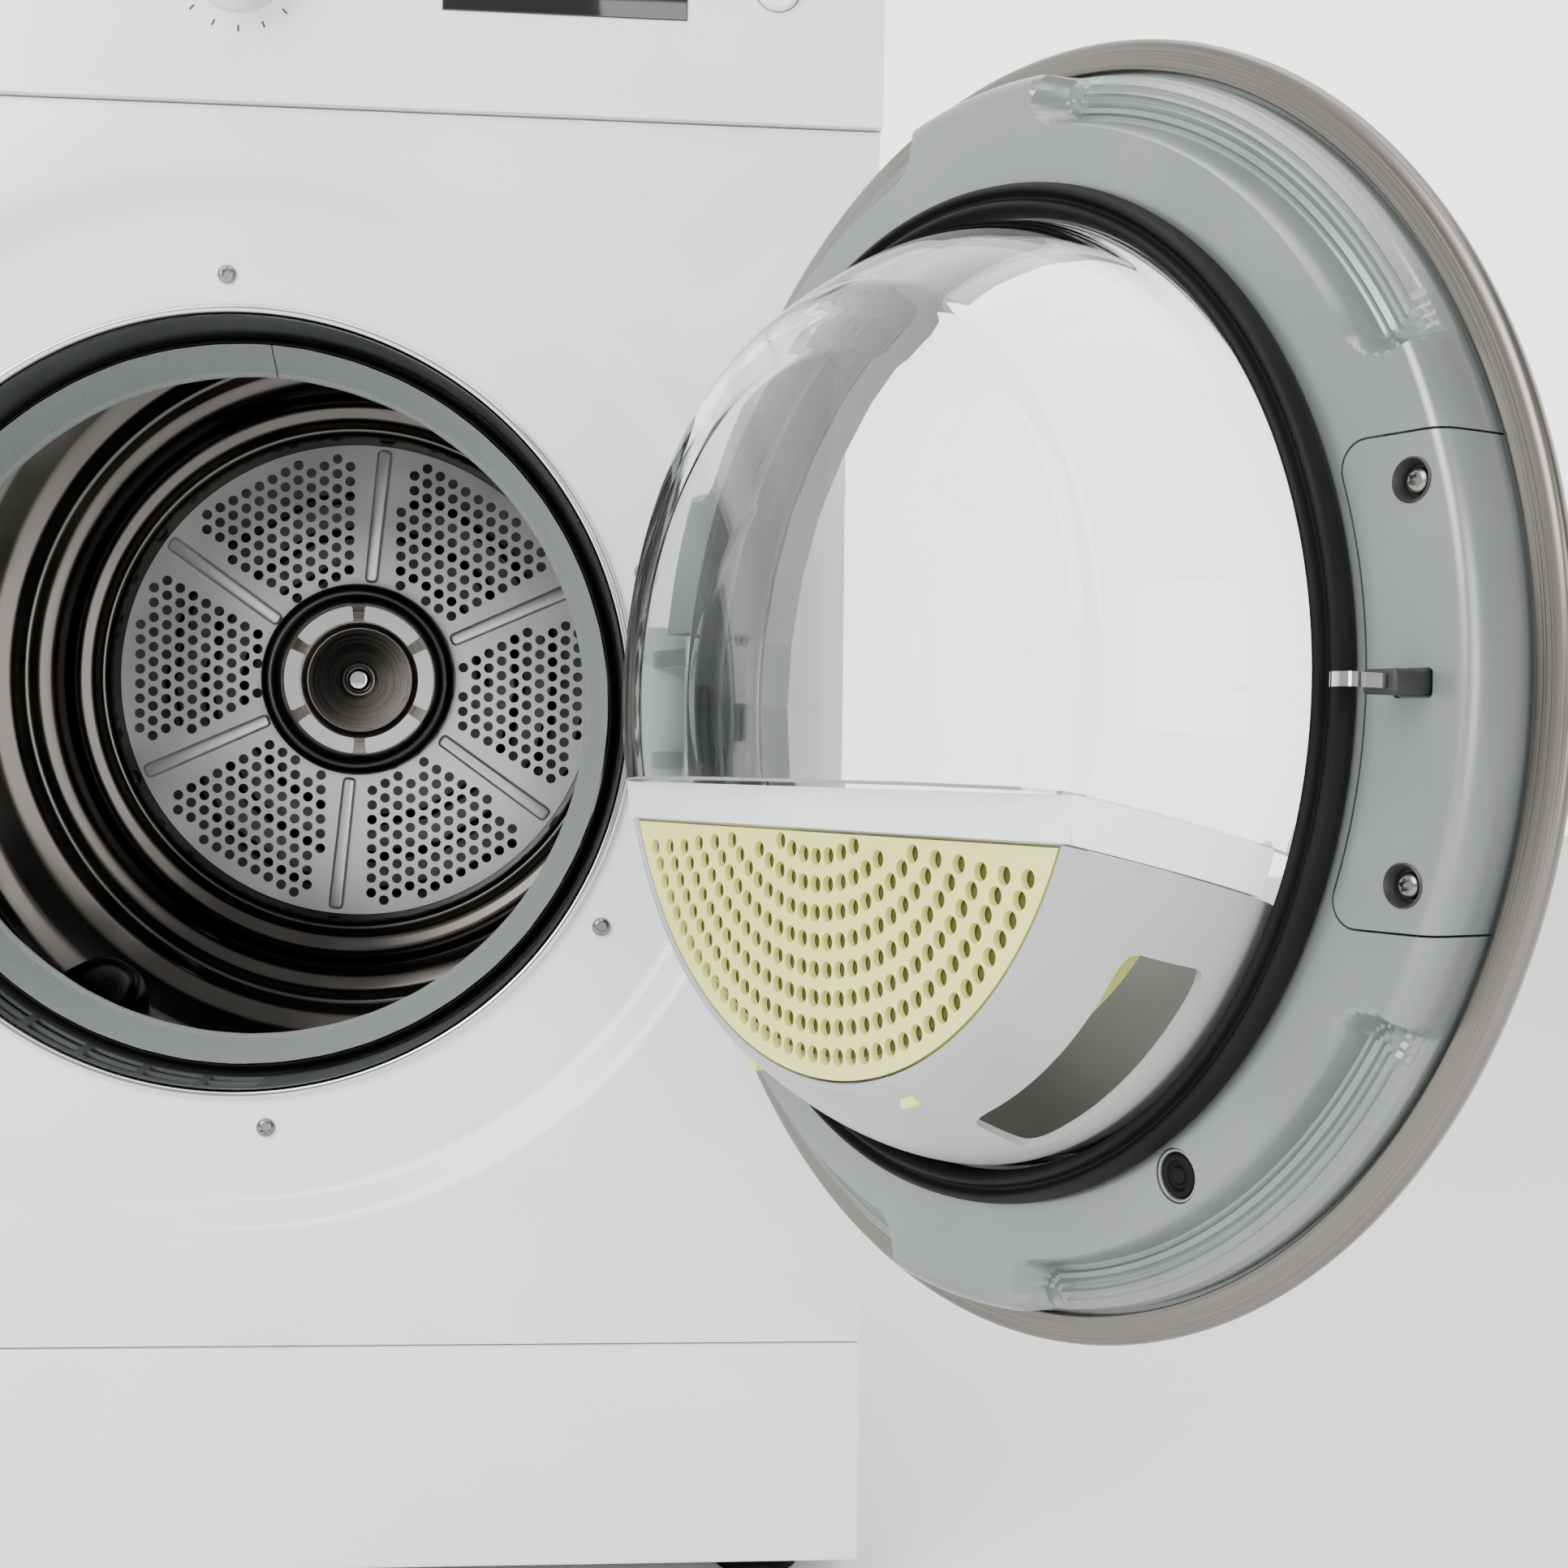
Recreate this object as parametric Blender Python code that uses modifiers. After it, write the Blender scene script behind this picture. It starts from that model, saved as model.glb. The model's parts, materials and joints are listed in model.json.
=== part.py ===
"""Clothes dryer with an open round door, built as separate parts in metres with +Z up.

The origin is the centre of the base pan's underside. -Y is the front of the machine.
"""

import math

import bmesh
import bpy
from mathutils import Matrix, Vector

# ---------------------------------------------------------------- driving dimensions
CABINET_WIDTH = 0.595
CABINET_DEPTH = 0.590
CABINET_HEIGHT = 0.830
FOOT_HEIGHT = 0.020
SHEET = 0.0015
GAP = 0.0005

RECESS_DEPTH = 0.012
RECESS_RADIUS = 0.2327
RECESS_RIM_RADIUS = 0.245
MOUTH_RADIUS = 0.1812
MOUTH_HEIGHT = 0.405

DRUM_RADIUS = 0.284
DRUM_RAISE = 0.030
DISC_RADIUS = 0.163
DISC_DEPTH = 0.441
DRUM_FRONT = 0.058
LIFTER_COUNT = 3

DOOR_ANGLE = math.radians(118.6)
HINGE_X = 0.2175
HINGE_OUT = 0.0305
KNUCKLE_RADIUS = 0.0045
HINGE_HALF = 0.0335
LINER_FACE = 0.004
GASKET_RADIUS = 0.178
BOWL_BASE_RADIUS = 0.1655
BOWL_RIM_RADIUS = 0.1365
BOWL_DEPTH = 0.057

BAND_TOP = -0.0327
BAND_HEIGHT = 0.014
BAND_DROP = 0.0163
FILTER_RADIUS = 0.1317
LATCH_X = -0.1968
COVER_HALF = 0.069
COVER_RADIUS = 0.182
BUMPER_RADIUS = 0.188
BUMPER_ANGLE = math.radians(-126.5)

FOOT_SPREAD_X = 0.2525
FOOT_SPREAD_Y = 0.240
FOOT_STEM_RADIUS = 0.005
FOOT_STEM_TOP = 0.006

MOTOR_X = -0.110
MOTOR_DROP = -0.322
PULLEY_RADIUS = 0.0085
ROLLER_RADIUS = 0.030
BELT_DEPTH = 0.345
BELT_WIDTH = 0.009
BELT_THICKNESS = 0.0016
BELT_SLACK = 0.0011
EXHAUST_X = -0.236
EXHAUST_DROP = -0.335
EXHAUST_RADIUS = 0.050

FASCIA_BOTTOM = 0.680
TOP_THICKNESS = 0.025
PLINTH_HEIGHT = 0.105

FRONT_Y = -CABINET_DEPTH / 2
PANEL_Y = FRONT_Y + RECESS_DEPTH
HALF_WIDTH = CABINET_WIDTH / 2
FACING = (math.pi / 2, 0, 0)

WHITE = ((0.86, 0.86, 0.85), 0.35, 0.0)
GREY = ((0.55, 0.56, 0.56), 0.45, 0.0)
STEEL = ((0.62, 0.61, 0.59), 0.3, 1.0)
ZINC = ((0.6, 0.61, 0.62), 0.45, 1.0)
BLACK = ((0.02, 0.02, 0.02), 0.6, 0.0)
DARK = ((0.12, 0.12, 0.12), 0.5, 0.0)
FELT = ((0.3, 0.33, 0.32), 0.95, 0.0)
YELLOW = ((0.78, 0.76, 0.42), 0.5, 0.0)
GLASS = ((0.85, 0.88, 0.88), 0.03, 0.0)


# ---------------------------------------------------------------- scene and placing
def clear_scene():
    """Removes every object that the scene starts with."""
    for obj in list(bpy.data.objects):
        bpy.data.objects.remove(obj, do_unlink=True)


def new_collection(name):
    """Adds a collection of that name to the scene."""
    collection = bpy.data.collections.new(name)
    bpy.context.scene.collection.children.link(collection)
    return collection


def finish_of(name, look):
    """A plain Principled material from a colour, a roughness and a metallic value."""
    colour, roughness, metallic = look
    material = bpy.data.materials.new(name)
    material.use_nodes = True
    shader = material.node_tree.nodes["Principled BSDF"]
    shader.inputs["Base Color"].default_value = (*colour, 1.0)
    shader.inputs["Roughness"].default_value = roughness
    shader.inputs["Metallic"].default_value = metallic
    return material


def add_part(name, data, look, parent, location=(0, 0, 0), rotation=(0, 0, 0)):
    """Links one named part of the dryer under its parent empty."""
    obj = bpy.data.objects.new(name, data)
    PARTS.objects.link(obj)
    obj.parent = parent
    obj.location = location
    obj.rotation_euler = rotation
    data.materials.append(finish_of(name, look))
    return obj


def add_cutter(name, bm, parent):
    """Links a hidden cutter made from a bmesh under the same parent as the part it cuts."""
    mesh = bpy.data.meshes.new(name)
    bmesh.ops.recalc_face_normals(bm, faces=bm.faces)
    bm.to_mesh(mesh)
    bm.free()
    obj = bpy.data.objects.new(name, mesh)
    CUTTERS.objects.link(obj)
    obj.parent = parent
    obj.hide_render = True
    obj.display_type = "WIRE"
    return obj


def add_frame(name, location, rotation=(0, 0, 0), parent=None):
    """An empty that parts are placed from."""
    empty = bpy.data.objects.new(name, None)
    PARTS.objects.link(empty)
    empty.parent = parent
    empty.location = location
    empty.rotation_euler = rotation
    return empty


def cut(obj, cutter):
    """Takes the cutter's shape out of the part."""
    boolean = obj.modifiers.new("cut", "BOOLEAN")
    boolean.operation = "DIFFERENCE"
    boolean.object = cutter


# ---------------------------------------------------------------- shape makers
def add_box(bm, low, high, turn=None):
    """Adds a box between two corners to the bmesh, turned about the frame's axis if asked."""
    middle = (Vector(low) + Vector(high)) / 2
    size = Vector(high) - Vector(low)
    matrix = Matrix.Translation(middle) @ Matrix.Diagonal((*size, 1))
    if turn is not None:
        matrix = turn @ matrix
    bmesh.ops.create_cube(bm, size=1, matrix=matrix)


def add_rod(bm, radius, start, end, sides=24, end_radius=None):
    """Adds a closed cylinder or cone from start to end to the bmesh."""
    start, end = Vector(start), Vector(end)
    along = end - start
    matrix = Matrix.Translation((start + end) / 2)
    matrix = matrix @ along.to_track_quat("Z", "Y").to_matrix().to_4x4()
    bmesh.ops.create_cone(
        bm, cap_ends=True, segments=sides, radius1=radius,
        radius2=radius if end_radius is None else end_radius,
        depth=along.length, matrix=matrix,
    )


def add_prism(bm, outline, z_low, z_high):
    """Adds a straight prism on a counter-clockwise outline."""
    low = [bm.verts.new((x, y, z_low)) for x, y in outline]
    high = [bm.verts.new((x, y, z_high)) for x, y in outline]
    bm.faces.new(low[::-1])
    bm.faces.new(high)
    for i in range(len(outline)):
        j = (i + 1) % len(outline)
        bm.faces.new((low[i], low[j], high[j], high[i]))


def mesh_of(name, bm):
    """A mesh from the bmesh, which is then freed."""
    mesh = bpy.data.meshes.new(name)
    bm.to_mesh(mesh)
    bm.free()
    return mesh


def box_part(name, low, high, look, parent, bevel=0.0):
    """A part that is one box, with its edges rounded if a bevel is given."""
    bm = bmesh.new()
    add_box(bm, low, high)
    obj = add_part(name, mesh_of(name, bm), look, parent)
    if bevel:
        rounding = obj.modifiers.new("round", "BEVEL")
        rounding.width = bevel
        rounding.segments = 2
    return obj


def rod_part(name, rods, look, parent, sides=24):
    """A part of one or more separate round rods, each (radius, start, end)."""
    bm = bmesh.new()
    for radius, start, end in rods:
        add_rod(bm, radius, start, end, sides)
    obj = add_part(name, mesh_of(name, bm), look, parent)
    smooth(obj)
    return obj


def smooth(obj):
    """Shades the round faces smooth and keeps the edges over 40 degrees sharp."""
    if obj.type == "MESH":
        obj.data.shade_smooth()
        obj.data.set_sharp_from_angle(angle=math.radians(40))


def turned_part(name, profile, look, parent, steps=36, centre=(0, 0)):
    """A part turned about its frame's z axis from a closed (radius, z) outline."""
    area = sum(
        a[0] * b[1] - b[0] * a[1] for a, b in zip(profile, profile[1:] + profile[:1])
    )
    points = profile if area < 0 else profile[::-1]
    on_axis = [i for i, p in enumerate(points) if p[0] == 0]
    closed = len(on_axis) < 2
    if not closed:
        first = next(i for i in on_axis if (i - 1) % len(points) in on_axis)
        points = points[first:] + points[:first]
    mesh = bpy.data.meshes.new(name)
    edges = [(i, i + 1) for i in range(len(points) - 1)]
    if closed:
        edges.append((len(points) - 1, 0))
    mesh.from_pydata([(r, 0, z) for r, z in points], edges, [])
    obj = add_part(name, mesh, look, parent, (*centre, 0))
    screw = obj.modifiers.new("turn", "SCREW")
    screw.steps = screw.render_steps = steps
    screw.use_merge_vertices = True
    screw.merge_threshold = 0.00002
    screw.use_smooth_shade = True
    return obj


def circle_points(radius, sides, centre=(0, 0)):
    """Points of a circle in the plane of its frame."""
    turns = [2 * math.pi * i / sides for i in range(sides)]
    return [(centre[0] + radius * math.cos(a), centre[1] + radius * math.sin(a)) for a in turns]


def rectangle_points(low, high):
    """The four corners of a rectangle."""
    return [low, (high[0], low[1]), high, (low[0], high[1])]


def plate_part(name, loops, z_low, z_high, look, parent):
    """A flat part: closed outlines in the frame's plane, filled and given a thickness."""
    curve = bpy.data.curves.new(name, "CURVE")
    curve.dimensions = "2D"
    curve.fill_mode = "BOTH"
    curve.extrude = (z_high - z_low) / 2
    for loop in loops:
        spline = curve.splines.new("POLY")
        spline.points.add(len(loop) - 1)
        for point, (x, y) in zip(spline.points, loop):
            point.co = (x, y, 0, 1)
        spline.use_cyclic_u = True
    return add_part(name, curve, look, parent, (0, 0, (z_low + z_high) / 2))


def polar(radius, angle):
    """A point in the plane from its radius and its angle in radians."""
    return radius * math.cos(angle), radius * math.sin(angle)


def arc_points(radius, start, end, count, centre=(0, 0)):
    """Points along an arc, with angles in radians."""
    turns = [start + (end - start) * i / (count - 1) for i in range(count)]
    return [(centre[0] + radius * math.cos(a), centre[1] + radius * math.sin(a)) for a in turns]


def ring_sector(inner, outer, start, end, count=9):
    """Outline of a piece of a flat ring between two angles."""
    return arc_points(outer, start, end, count) + arc_points(inner, end, start, count)


# ---------------------------------------------------------------- cabinet
def build_panels(world):
    """The sheet steel skins, the worktop, the base and the feet."""
    low, high = GAP, CABINET_HEIGHT - TOP_THICKNESS - GAP
    front = FRONT_Y + 0.022
    for side, name in ((-1, "side_panel_left"), (1, "side_panel_right")):
        edge = side * HALF_WIDTH
        inner = side * (HALF_WIDTH - SHEET)
        xs = sorted((edge, inner))
        box_part(name, (xs[0], front, low), (xs[1], -FRONT_Y, high), WHITE, world)
    top_low = CABINET_HEIGHT - TOP_THICKNESS
    box_part(
        "top_panel", (-HALF_WIDTH, FRONT_Y + 0.002, top_low),
        (HALF_WIDTH, -FRONT_Y, CABINET_HEIGHT), WHITE, world, 0.003,
    )
    inside = HALF_WIDTH - SHEET - GAP
    back = -FRONT_Y - GAP
    base = bmesh.new()
    add_box(base, (-inside, FRONT_Y + 0.024, 0), (inside, back - SHEET - GAP, 0.0035))
    pan = add_part("base_pan", mesh_of("base_pan", base), ZINC, world)
    stems = bmesh.new()
    for x, y in foot_spots().values():
        add_rod(stems, FOOT_STEM_RADIUS + 0.0003, (x, y, -0.002), (x, y, 0.008))
    cut(pan, add_cutter("stem_holes", stems, world))
    back_frame = add_frame("back_frame", (0, -FRONT_Y, 0), FACING, world)
    collar = (EXHAUST_X, MOUTH_HEIGHT + EXHAUST_DROP)
    plate_part(
        "back_panel",
        [
            rectangle_points((-inside, low + 0.004), (inside, high)),
            circle_points(EXHAUST_RADIUS + 0.003, 32, collar),
        ],
        GAP, GAP + SHEET, ZINC, back_frame,
    )
    for corner, spot in foot_spots().items():
        turned_part(
            f"foot_{corner}",
            [
                (0, FOOT_STEM_TOP), (FOOT_STEM_RADIUS, FOOT_STEM_TOP), (FOOT_STEM_RADIUS, -0.011),
                (0.020, -0.012), (0.021, -FOOT_HEIGHT), (0, -FOOT_HEIGHT),
            ],
            BLACK, world, 24, spot,
        )


def foot_spots():
    """Where the four feet stand, by corner."""
    return {
        f"{end}_{side}": (x * FOOT_SPREAD_X, y * FOOT_SPREAD_Y)
        for end, y in (("front", -1), ("back", 1))
        for side, x in (("left", -1), ("right", 1))
    }


def build_front_panel(front):
    """The pressed front: a flat sheet, the dished recess that the door lies in, and the mouth."""
    sides = 48
    low = PLINTH_HEIGHT + GAP - MOUTH_HEIGHT
    high = FASCIA_BOTTOM - GAP - MOUTH_HEIGHT
    half = HALF_WIDTH - GAP
    turns = [2 * math.pi * i / sides for i in range(sides)]
    corners = [math.atan2(y, x) % (2 * math.pi) for x in (half, -half) for y in (low, high)]
    for corner in corners:
        nearest = min(range(sides), key=lambda i: abs(turns[i] - corner))
        turns[nearest] = corner

    def edge_point(angle):
        """Where a ray from the mouth's centre meets the sheet's edge."""
        c, s = math.cos(angle), math.sin(angle)
        reach = [half / abs(c)] if abs(c) > 1e-9 else []
        if abs(s) > 1e-9:
            reach.append((high if s > 0 else -low) / abs(s))
        return min(reach) * c, min(reach) * s

    face = RECESS_DEPTH
    loops = [[(*edge_point(a), face - 0.018) for a in turns]]
    loops.append([(*edge_point(a), face) for a in turns])
    for radius, z in (
        (RECESS_RIM_RADIUS + 0.002, face),
        (RECESS_RIM_RADIUS - 0.001, face - 0.001),
        (RECESS_RADIUS + 0.001, 0.001),
        (RECESS_RADIUS - 0.002, 0),
        (MOUTH_RADIUS + 0.0026, 0),
    ):
        loops.append([(*polar(radius, a), z) for a in turns])
    bm = bmesh.new()
    rings = [[bm.verts.new(p) for p in loop] for loop in loops]
    for outer, inner in zip(rings, rings[1:]):
        for i in range(sides):
            j = (i + 1) % sides
            bm.faces.new((outer[i], outer[j], inner[j], inner[i]))
    panel = add_part("front_panel", mesh_of("front_panel", bm), WHITE, front)
    wall = panel.modifiers.new("sheet", "SOLIDIFY")
    wall.thickness = 0.0012
    wall.offset = -1
    smooth(panel)
    holes = bmesh.new()
    for x, y in screw_spots():
        add_rod(holes, 0.0025, (x, y, -0.004), (x, y, 0.004), 12)
    add_box(holes, (LATCH_X - 0.006, -0.012, -0.004), (LATCH_X + 0.007, 0.012, 0.004))
    cut(panel, add_cutter("front_panel_holes", holes, front))


def screw_spots():
    """Where the six mouth screws stand on the recess floor."""
    radius = 0.1997
    return [polar(radius, math.radians(a)) for a in (19.2, -31.1, -85.7, -141, 165, 92)]


def build_mouth(front):
    """The trim ring of the drum's mouth with its lint grille, the seals and the screws."""
    ring = turned_part(
        "opening_ring",
        [
            (MOUTH_RADIUS, 0.0016), (0.1824, 0.0034), (0.1842, 0.0038), (0.1856, 0.0028),
            (0.1861, 0.0006), (0.1832, 0.0006), (0.1826, -0.003), (0.1810, -0.0355),
            (MOUTH_RADIUS - 0.0016, -0.0355), (MOUTH_RADIUS - 0.0008, -0.010),
        ],
        STEEL, front,
    )
    slots = bmesh.new()
    count, first, step = 7, math.radians(-146.1), math.radians(9.2)
    for i in range(count):
        turn = Matrix.Rotation(first + i * step, 4, "Z")
        for z in (-0.0145, -0.0265):
            add_box(slots, (0.170, -0.0125, z), (0.190, 0.0125, z + 0.009), turn)
    cut(ring, add_cutter("grille_slots", slots, front))
    turned_part(
        "mouth_seal",
        [(0.1790, -0.0330), (0.1790, -0.0436), (0.1732, -0.0436), (0.1732, -0.0236),
         (0.1742, -0.0236), (0.1775, -0.0330)],
        BLACK, front,
    )
    turned_part(
        "felt_seal",
        [(0.1726, -0.0222), (0.1726, -0.0436), (0.1625, -0.0460), (0.1625, -0.0432)],
        FELT, front,
    )


def roller_spots():
    """Centres of the two rollers under the drum, from the drum's axis."""
    reach = DRUM_RADIUS + ROLLER_RADIUS + 0.0012
    return [polar(reach, math.radians(-90 + side * 34)) for side in (-1, 1)]


def build_bulkheads(front):
    """The two inner frames that carry the drum's seals, rollers and bearing."""
    inside = HALF_WIDTH - SHEET - 0.004
    low, high = 0.012 - MOUTH_HEIGHT, FASCIA_BOTTOM + 0.015 - MOUTH_HEIGHT
    bm = bmesh.new()
    add_box(bm, (-inside, low, -0.0456), (inside, high, -0.0444))
    bulkhead = add_part("front_bulkhead", mesh_of("front_bulkhead", bm), ZINC, front)
    holes = bmesh.new()
    add_rod(holes, 0.1745, (0, 0, -0.050), (0, 0, -0.040), 48)
    add_rod(holes, 0.048, (MOTOR_X, MOTOR_DROP, -0.050), (MOTOR_X, MOTOR_DROP, -0.040), 32)
    cut(bulkhead, add_cutter("bulkhead_holes", holes, front))
    axles = bmesh.new()
    for x, y in roller_spots():
        add_rod(axles, 0.0050, (x, y + DRUM_RAISE, -0.1300), (x, y + DRUM_RAISE, -0.0448), 16)
    join = bulkhead.modifiers.new("axles", "BOOLEAN")
    join.operation = "UNION"
    join.object = add_cutter("roller_axles", axles, front)
    plate_part(
        "rear_bulkhead",
        [
            rectangle_points((-inside, low), (inside, high)),
            circle_points(0.186, 40, (0, DRUM_RAISE)),
            circle_points(EXHAUST_RADIUS + 0.004, 32, (EXHAUST_X, EXHAUST_DROP)),
        ],
        -0.4680, -0.4665, ZINC, front,
    )


def build_lint_duct(front):
    """The flat duct that takes lint air from the grille down to the blower."""
    bm = bmesh.new()
    add_box(bm, (-0.185, -0.385, -0.0436), (-0.030, -0.192, -0.008))
    gone = [f for f in bm.faces if f.normal.z < -0.9 or f.normal.y > 0.9]
    bmesh.ops.delete(bm, geom=gone, context="FACES")
    duct = add_part("lint_duct", mesh_of("lint_duct", bm), DARK, front)
    wall = duct.modifiers.new("wall", "SOLIDIFY")
    wall.thickness = 0.0018
    wall.offset = -1


def build_air_path(front):
    """The blower's housing, the exhaust duct to the back, the hot air duct and its heater."""
    bm = bmesh.new()
    axis = (MOTOR_X, MOTOR_DROP)
    add_rod(bm, 0.074, (*axis, -0.1290), (*axis, -0.0465), 32)
    housing = add_part("blower_housing", mesh_of("blower_housing", bm), DARK, front)
    outlet = bmesh.new()
    add_box(outlet, (EXHAUST_X - 0.050, MOTOR_DROP - 0.076, -0.1290), (MOTOR_X, MOTOR_DROP + 0.042, -0.0465))
    join = housing.modifiers.new("outlet", "BOOLEAN")
    join.operation = "UNION"
    join.object = add_cutter("blower_outlet", outlet, front)
    hollow = bmesh.new()
    add_rod(hollow, 0.0715, (*axis, -0.1265), (*axis, -0.0490), 32)
    cut(housing, add_cutter("blower_hollow", hollow, front))
    way = bmesh.new()
    add_box(way, (EXHAUST_X - 0.0475, MOTOR_DROP - 0.0735, -0.1265), (MOTOR_X, MOTOR_DROP + 0.0395, -0.0490))
    cut(housing, add_cutter("blower_way", way, front))
    holes = bmesh.new()
    add_rod(holes, 0.045, (*axis, -0.0560), (*axis, -0.0400), 32)
    add_rod(holes, 0.0095, (*axis, -0.1350), (*axis, -0.1200), 16)
    add_rod(holes, 0.042, (EXHAUST_X, EXHAUST_DROP, -0.1400), (EXHAUST_X, EXHAUST_DROP, -0.1200), 32)
    cut(housing, add_cutter("blower_holes", holes, front))

    tube = [
        (EXHAUST_RADIUS, -0.1300), (EXHAUST_RADIUS, -0.5980),
        (EXHAUST_RADIUS - 0.0015, -0.5980), (EXHAUST_RADIUS - 0.0015, -0.1300),
    ]
    turned_part("exhaust_duct", tube, ZINC, front, 24, (EXHAUST_X, EXHAUST_DROP))
    pan = [
        (0.196, -0.4686), (0.196, -0.4700), (0.188, -0.4700), (0.182, -0.5450), (0.034, -0.5450),
        (0.034, -0.5465), (0.1835, -0.5465), (0.1898, -0.4714), (0.1975, -0.4714), (0.1975, -0.4686),
    ]
    turned_part("heater_duct", pan, ZINC, front, 32, (0, DRUM_RAISE))
    curve = bpy.data.curves.new("heater_coil", "CURVE")
    curve.dimensions = "3D"
    curve.bevel_depth = 0.004
    curve.bevel_resolution = 2
    curve.use_fill_caps = True
    turns, count = 3, 48
    spline = curve.splines.new("POLY")
    spline.points.add(count)
    for i, point in enumerate(spline.points):
        share = i / count
        x, y = polar(0.080 + 0.080 * share, 2 * math.pi * turns * share)
        point.co = (x, y, -0.515, 1)
    add_part("heater_coil", curve, DARK, front, (0, DRUM_RAISE, 0))


# ---------------------------------------------------------------- drum and drive
def build_drum(drum):
    """The stainless drum: its ribbed wall with a front cone, its dished back and what is on them."""
    wall = DRUM_RADIUS - SHEET
    back = -0.402
    outer = [(0.2000, -DRUM_FRONT), (0.2120, -0.0560), (0.2700, -0.0760), (DRUM_RADIUS, -0.0900)]
    for z in (-0.150, -0.235):
        outer += [(DRUM_RADIUS, z), (DRUM_RADIUS - 0.004, z - 0.008), (DRUM_RADIUS, z - 0.016)]
    outer.append((DRUM_RADIUS, back))
    inner = [(wall, back)]
    for z in (-0.235, -0.150):
        inner += [(wall, z - 0.016), (wall - 0.004, z - 0.008), (wall, z)]
    inner += [(wall, -0.0910), (0.2690, -0.0775), (0.2118, -0.0576), (0.2005, -0.0595)]
    turned_part("drum_shell", outer + inner, STEEL, drum)

    front = [
        (0.0205, -DISC_DEPTH), (DISC_RADIUS, -DISC_DEPTH), (0.1700, -0.4260), (0.1880, -0.4240),
        (0.1960, -0.4300), (0.2150, -0.4290), (0.2810, -0.4030), (0.2836, -0.4030),
    ]
    rear = [
        (0.2836, -0.4050), (0.2815, -0.4050), (0.2155, -0.4310), (0.1955, -0.4320),
        (0.1875, -0.4260), (0.1710, -0.4280), (0.1640, -0.4430), (0.0205, -0.4430),
    ]
    turned_part("drum_back", front + rear, STEEL, drum)

    turned_part(
        "hub_cap",
        [
            (0, -0.4360), (0.0120, -0.4360), (0.0135, -0.4250), (0.0380, -0.4225), (0.0410, -0.4190),
            (0.0550, -0.4170), (0.0620, -0.4200), (0.0655, -0.4290), (0.0655, -0.4404),
            (0, -0.4404),
        ],
        STEEL, drum, 32,
    )
    turned_part(
        "drum_shaft",
        [(0, -0.4410), (0.0200, -0.4410), (0.0200, -0.4550), (0.0125, -0.4560), (0.0125, -0.5500),
         (0, -0.5500)],
        ZINC, drum, 20,
    )
    for i in range(LIFTER_COUNT):
        bm = bmesh.new()
        add_lifter(bm, 2 * math.pi * i / LIFTER_COUNT - math.radians(5))
        name = f"drum_lifter_{i + 1}"
        add_part(name, mesh_of(name, bm), STEEL, drum)


def add_lifter(bm, angle):
    """Adds one paddle: a ridge along the drum that stands in from its wall."""
    turn = Matrix.Rotation(angle, 4, "Z")
    reach = DRUM_RADIUS - SHEET
    sections = []
    for z, height in ((-0.268, 0.020), (-0.285, 0.048), (-0.375, 0.048), (-0.392, 0.020)):
        half_foot, half_top = 0.034, 0.012
        foot = math.sqrt(reach**2 - half_foot**2) - 0.0022
        top = reach - height
        outline = [(foot, -half_foot), (foot, half_foot), (top, half_top), (top - 0.004, 0), (top, -half_top)]
        sections.append([bm.verts.new(turn @ Vector((x, y, z))) for x, y in outline])
    for a, b in zip(sections, sections[1:]):
        for i in range(5):
            j = (i + 1) % 5
            bm.faces.new((a[j], a[i], b[i], b[j]))
    bm.faces.new(sections[0])
    bm.faces.new(sections[-1][::-1])
    bmesh.ops.recalc_face_normals(bm, faces=bm.faces)


def build_bearing(drum):
    """The bearing on the hot air duct that carries the drum's shaft."""
    turned_part(
        "bearing_housing",
        [(0.0130, -0.5250), (0.0330, -0.5250), (0.0330, -0.5520), (0.0420, -0.5520),
         (0.0420, -0.5545), (0.0130, -0.5545)],
        ZINC, drum, 20,
    )


def belt_loop(grow):
    """Outline of the belt's path round the drum and the motor pulley, grown by a distance."""
    big, small = DRUM_RADIUS + grow, PULLEY_RADIUS + grow
    centre = Vector((MOTOR_X, MOTOR_DROP - DRUM_RAISE))
    lean = math.acos((big - small) / centre.length)
    toward = math.atan2(centre.y, centre.x)
    long_way = arc_points(big, toward + lean, toward + 2 * math.pi - lean, 45)
    return long_way + arc_points(small, toward - lean, toward + lean, 9, centre)


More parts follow.
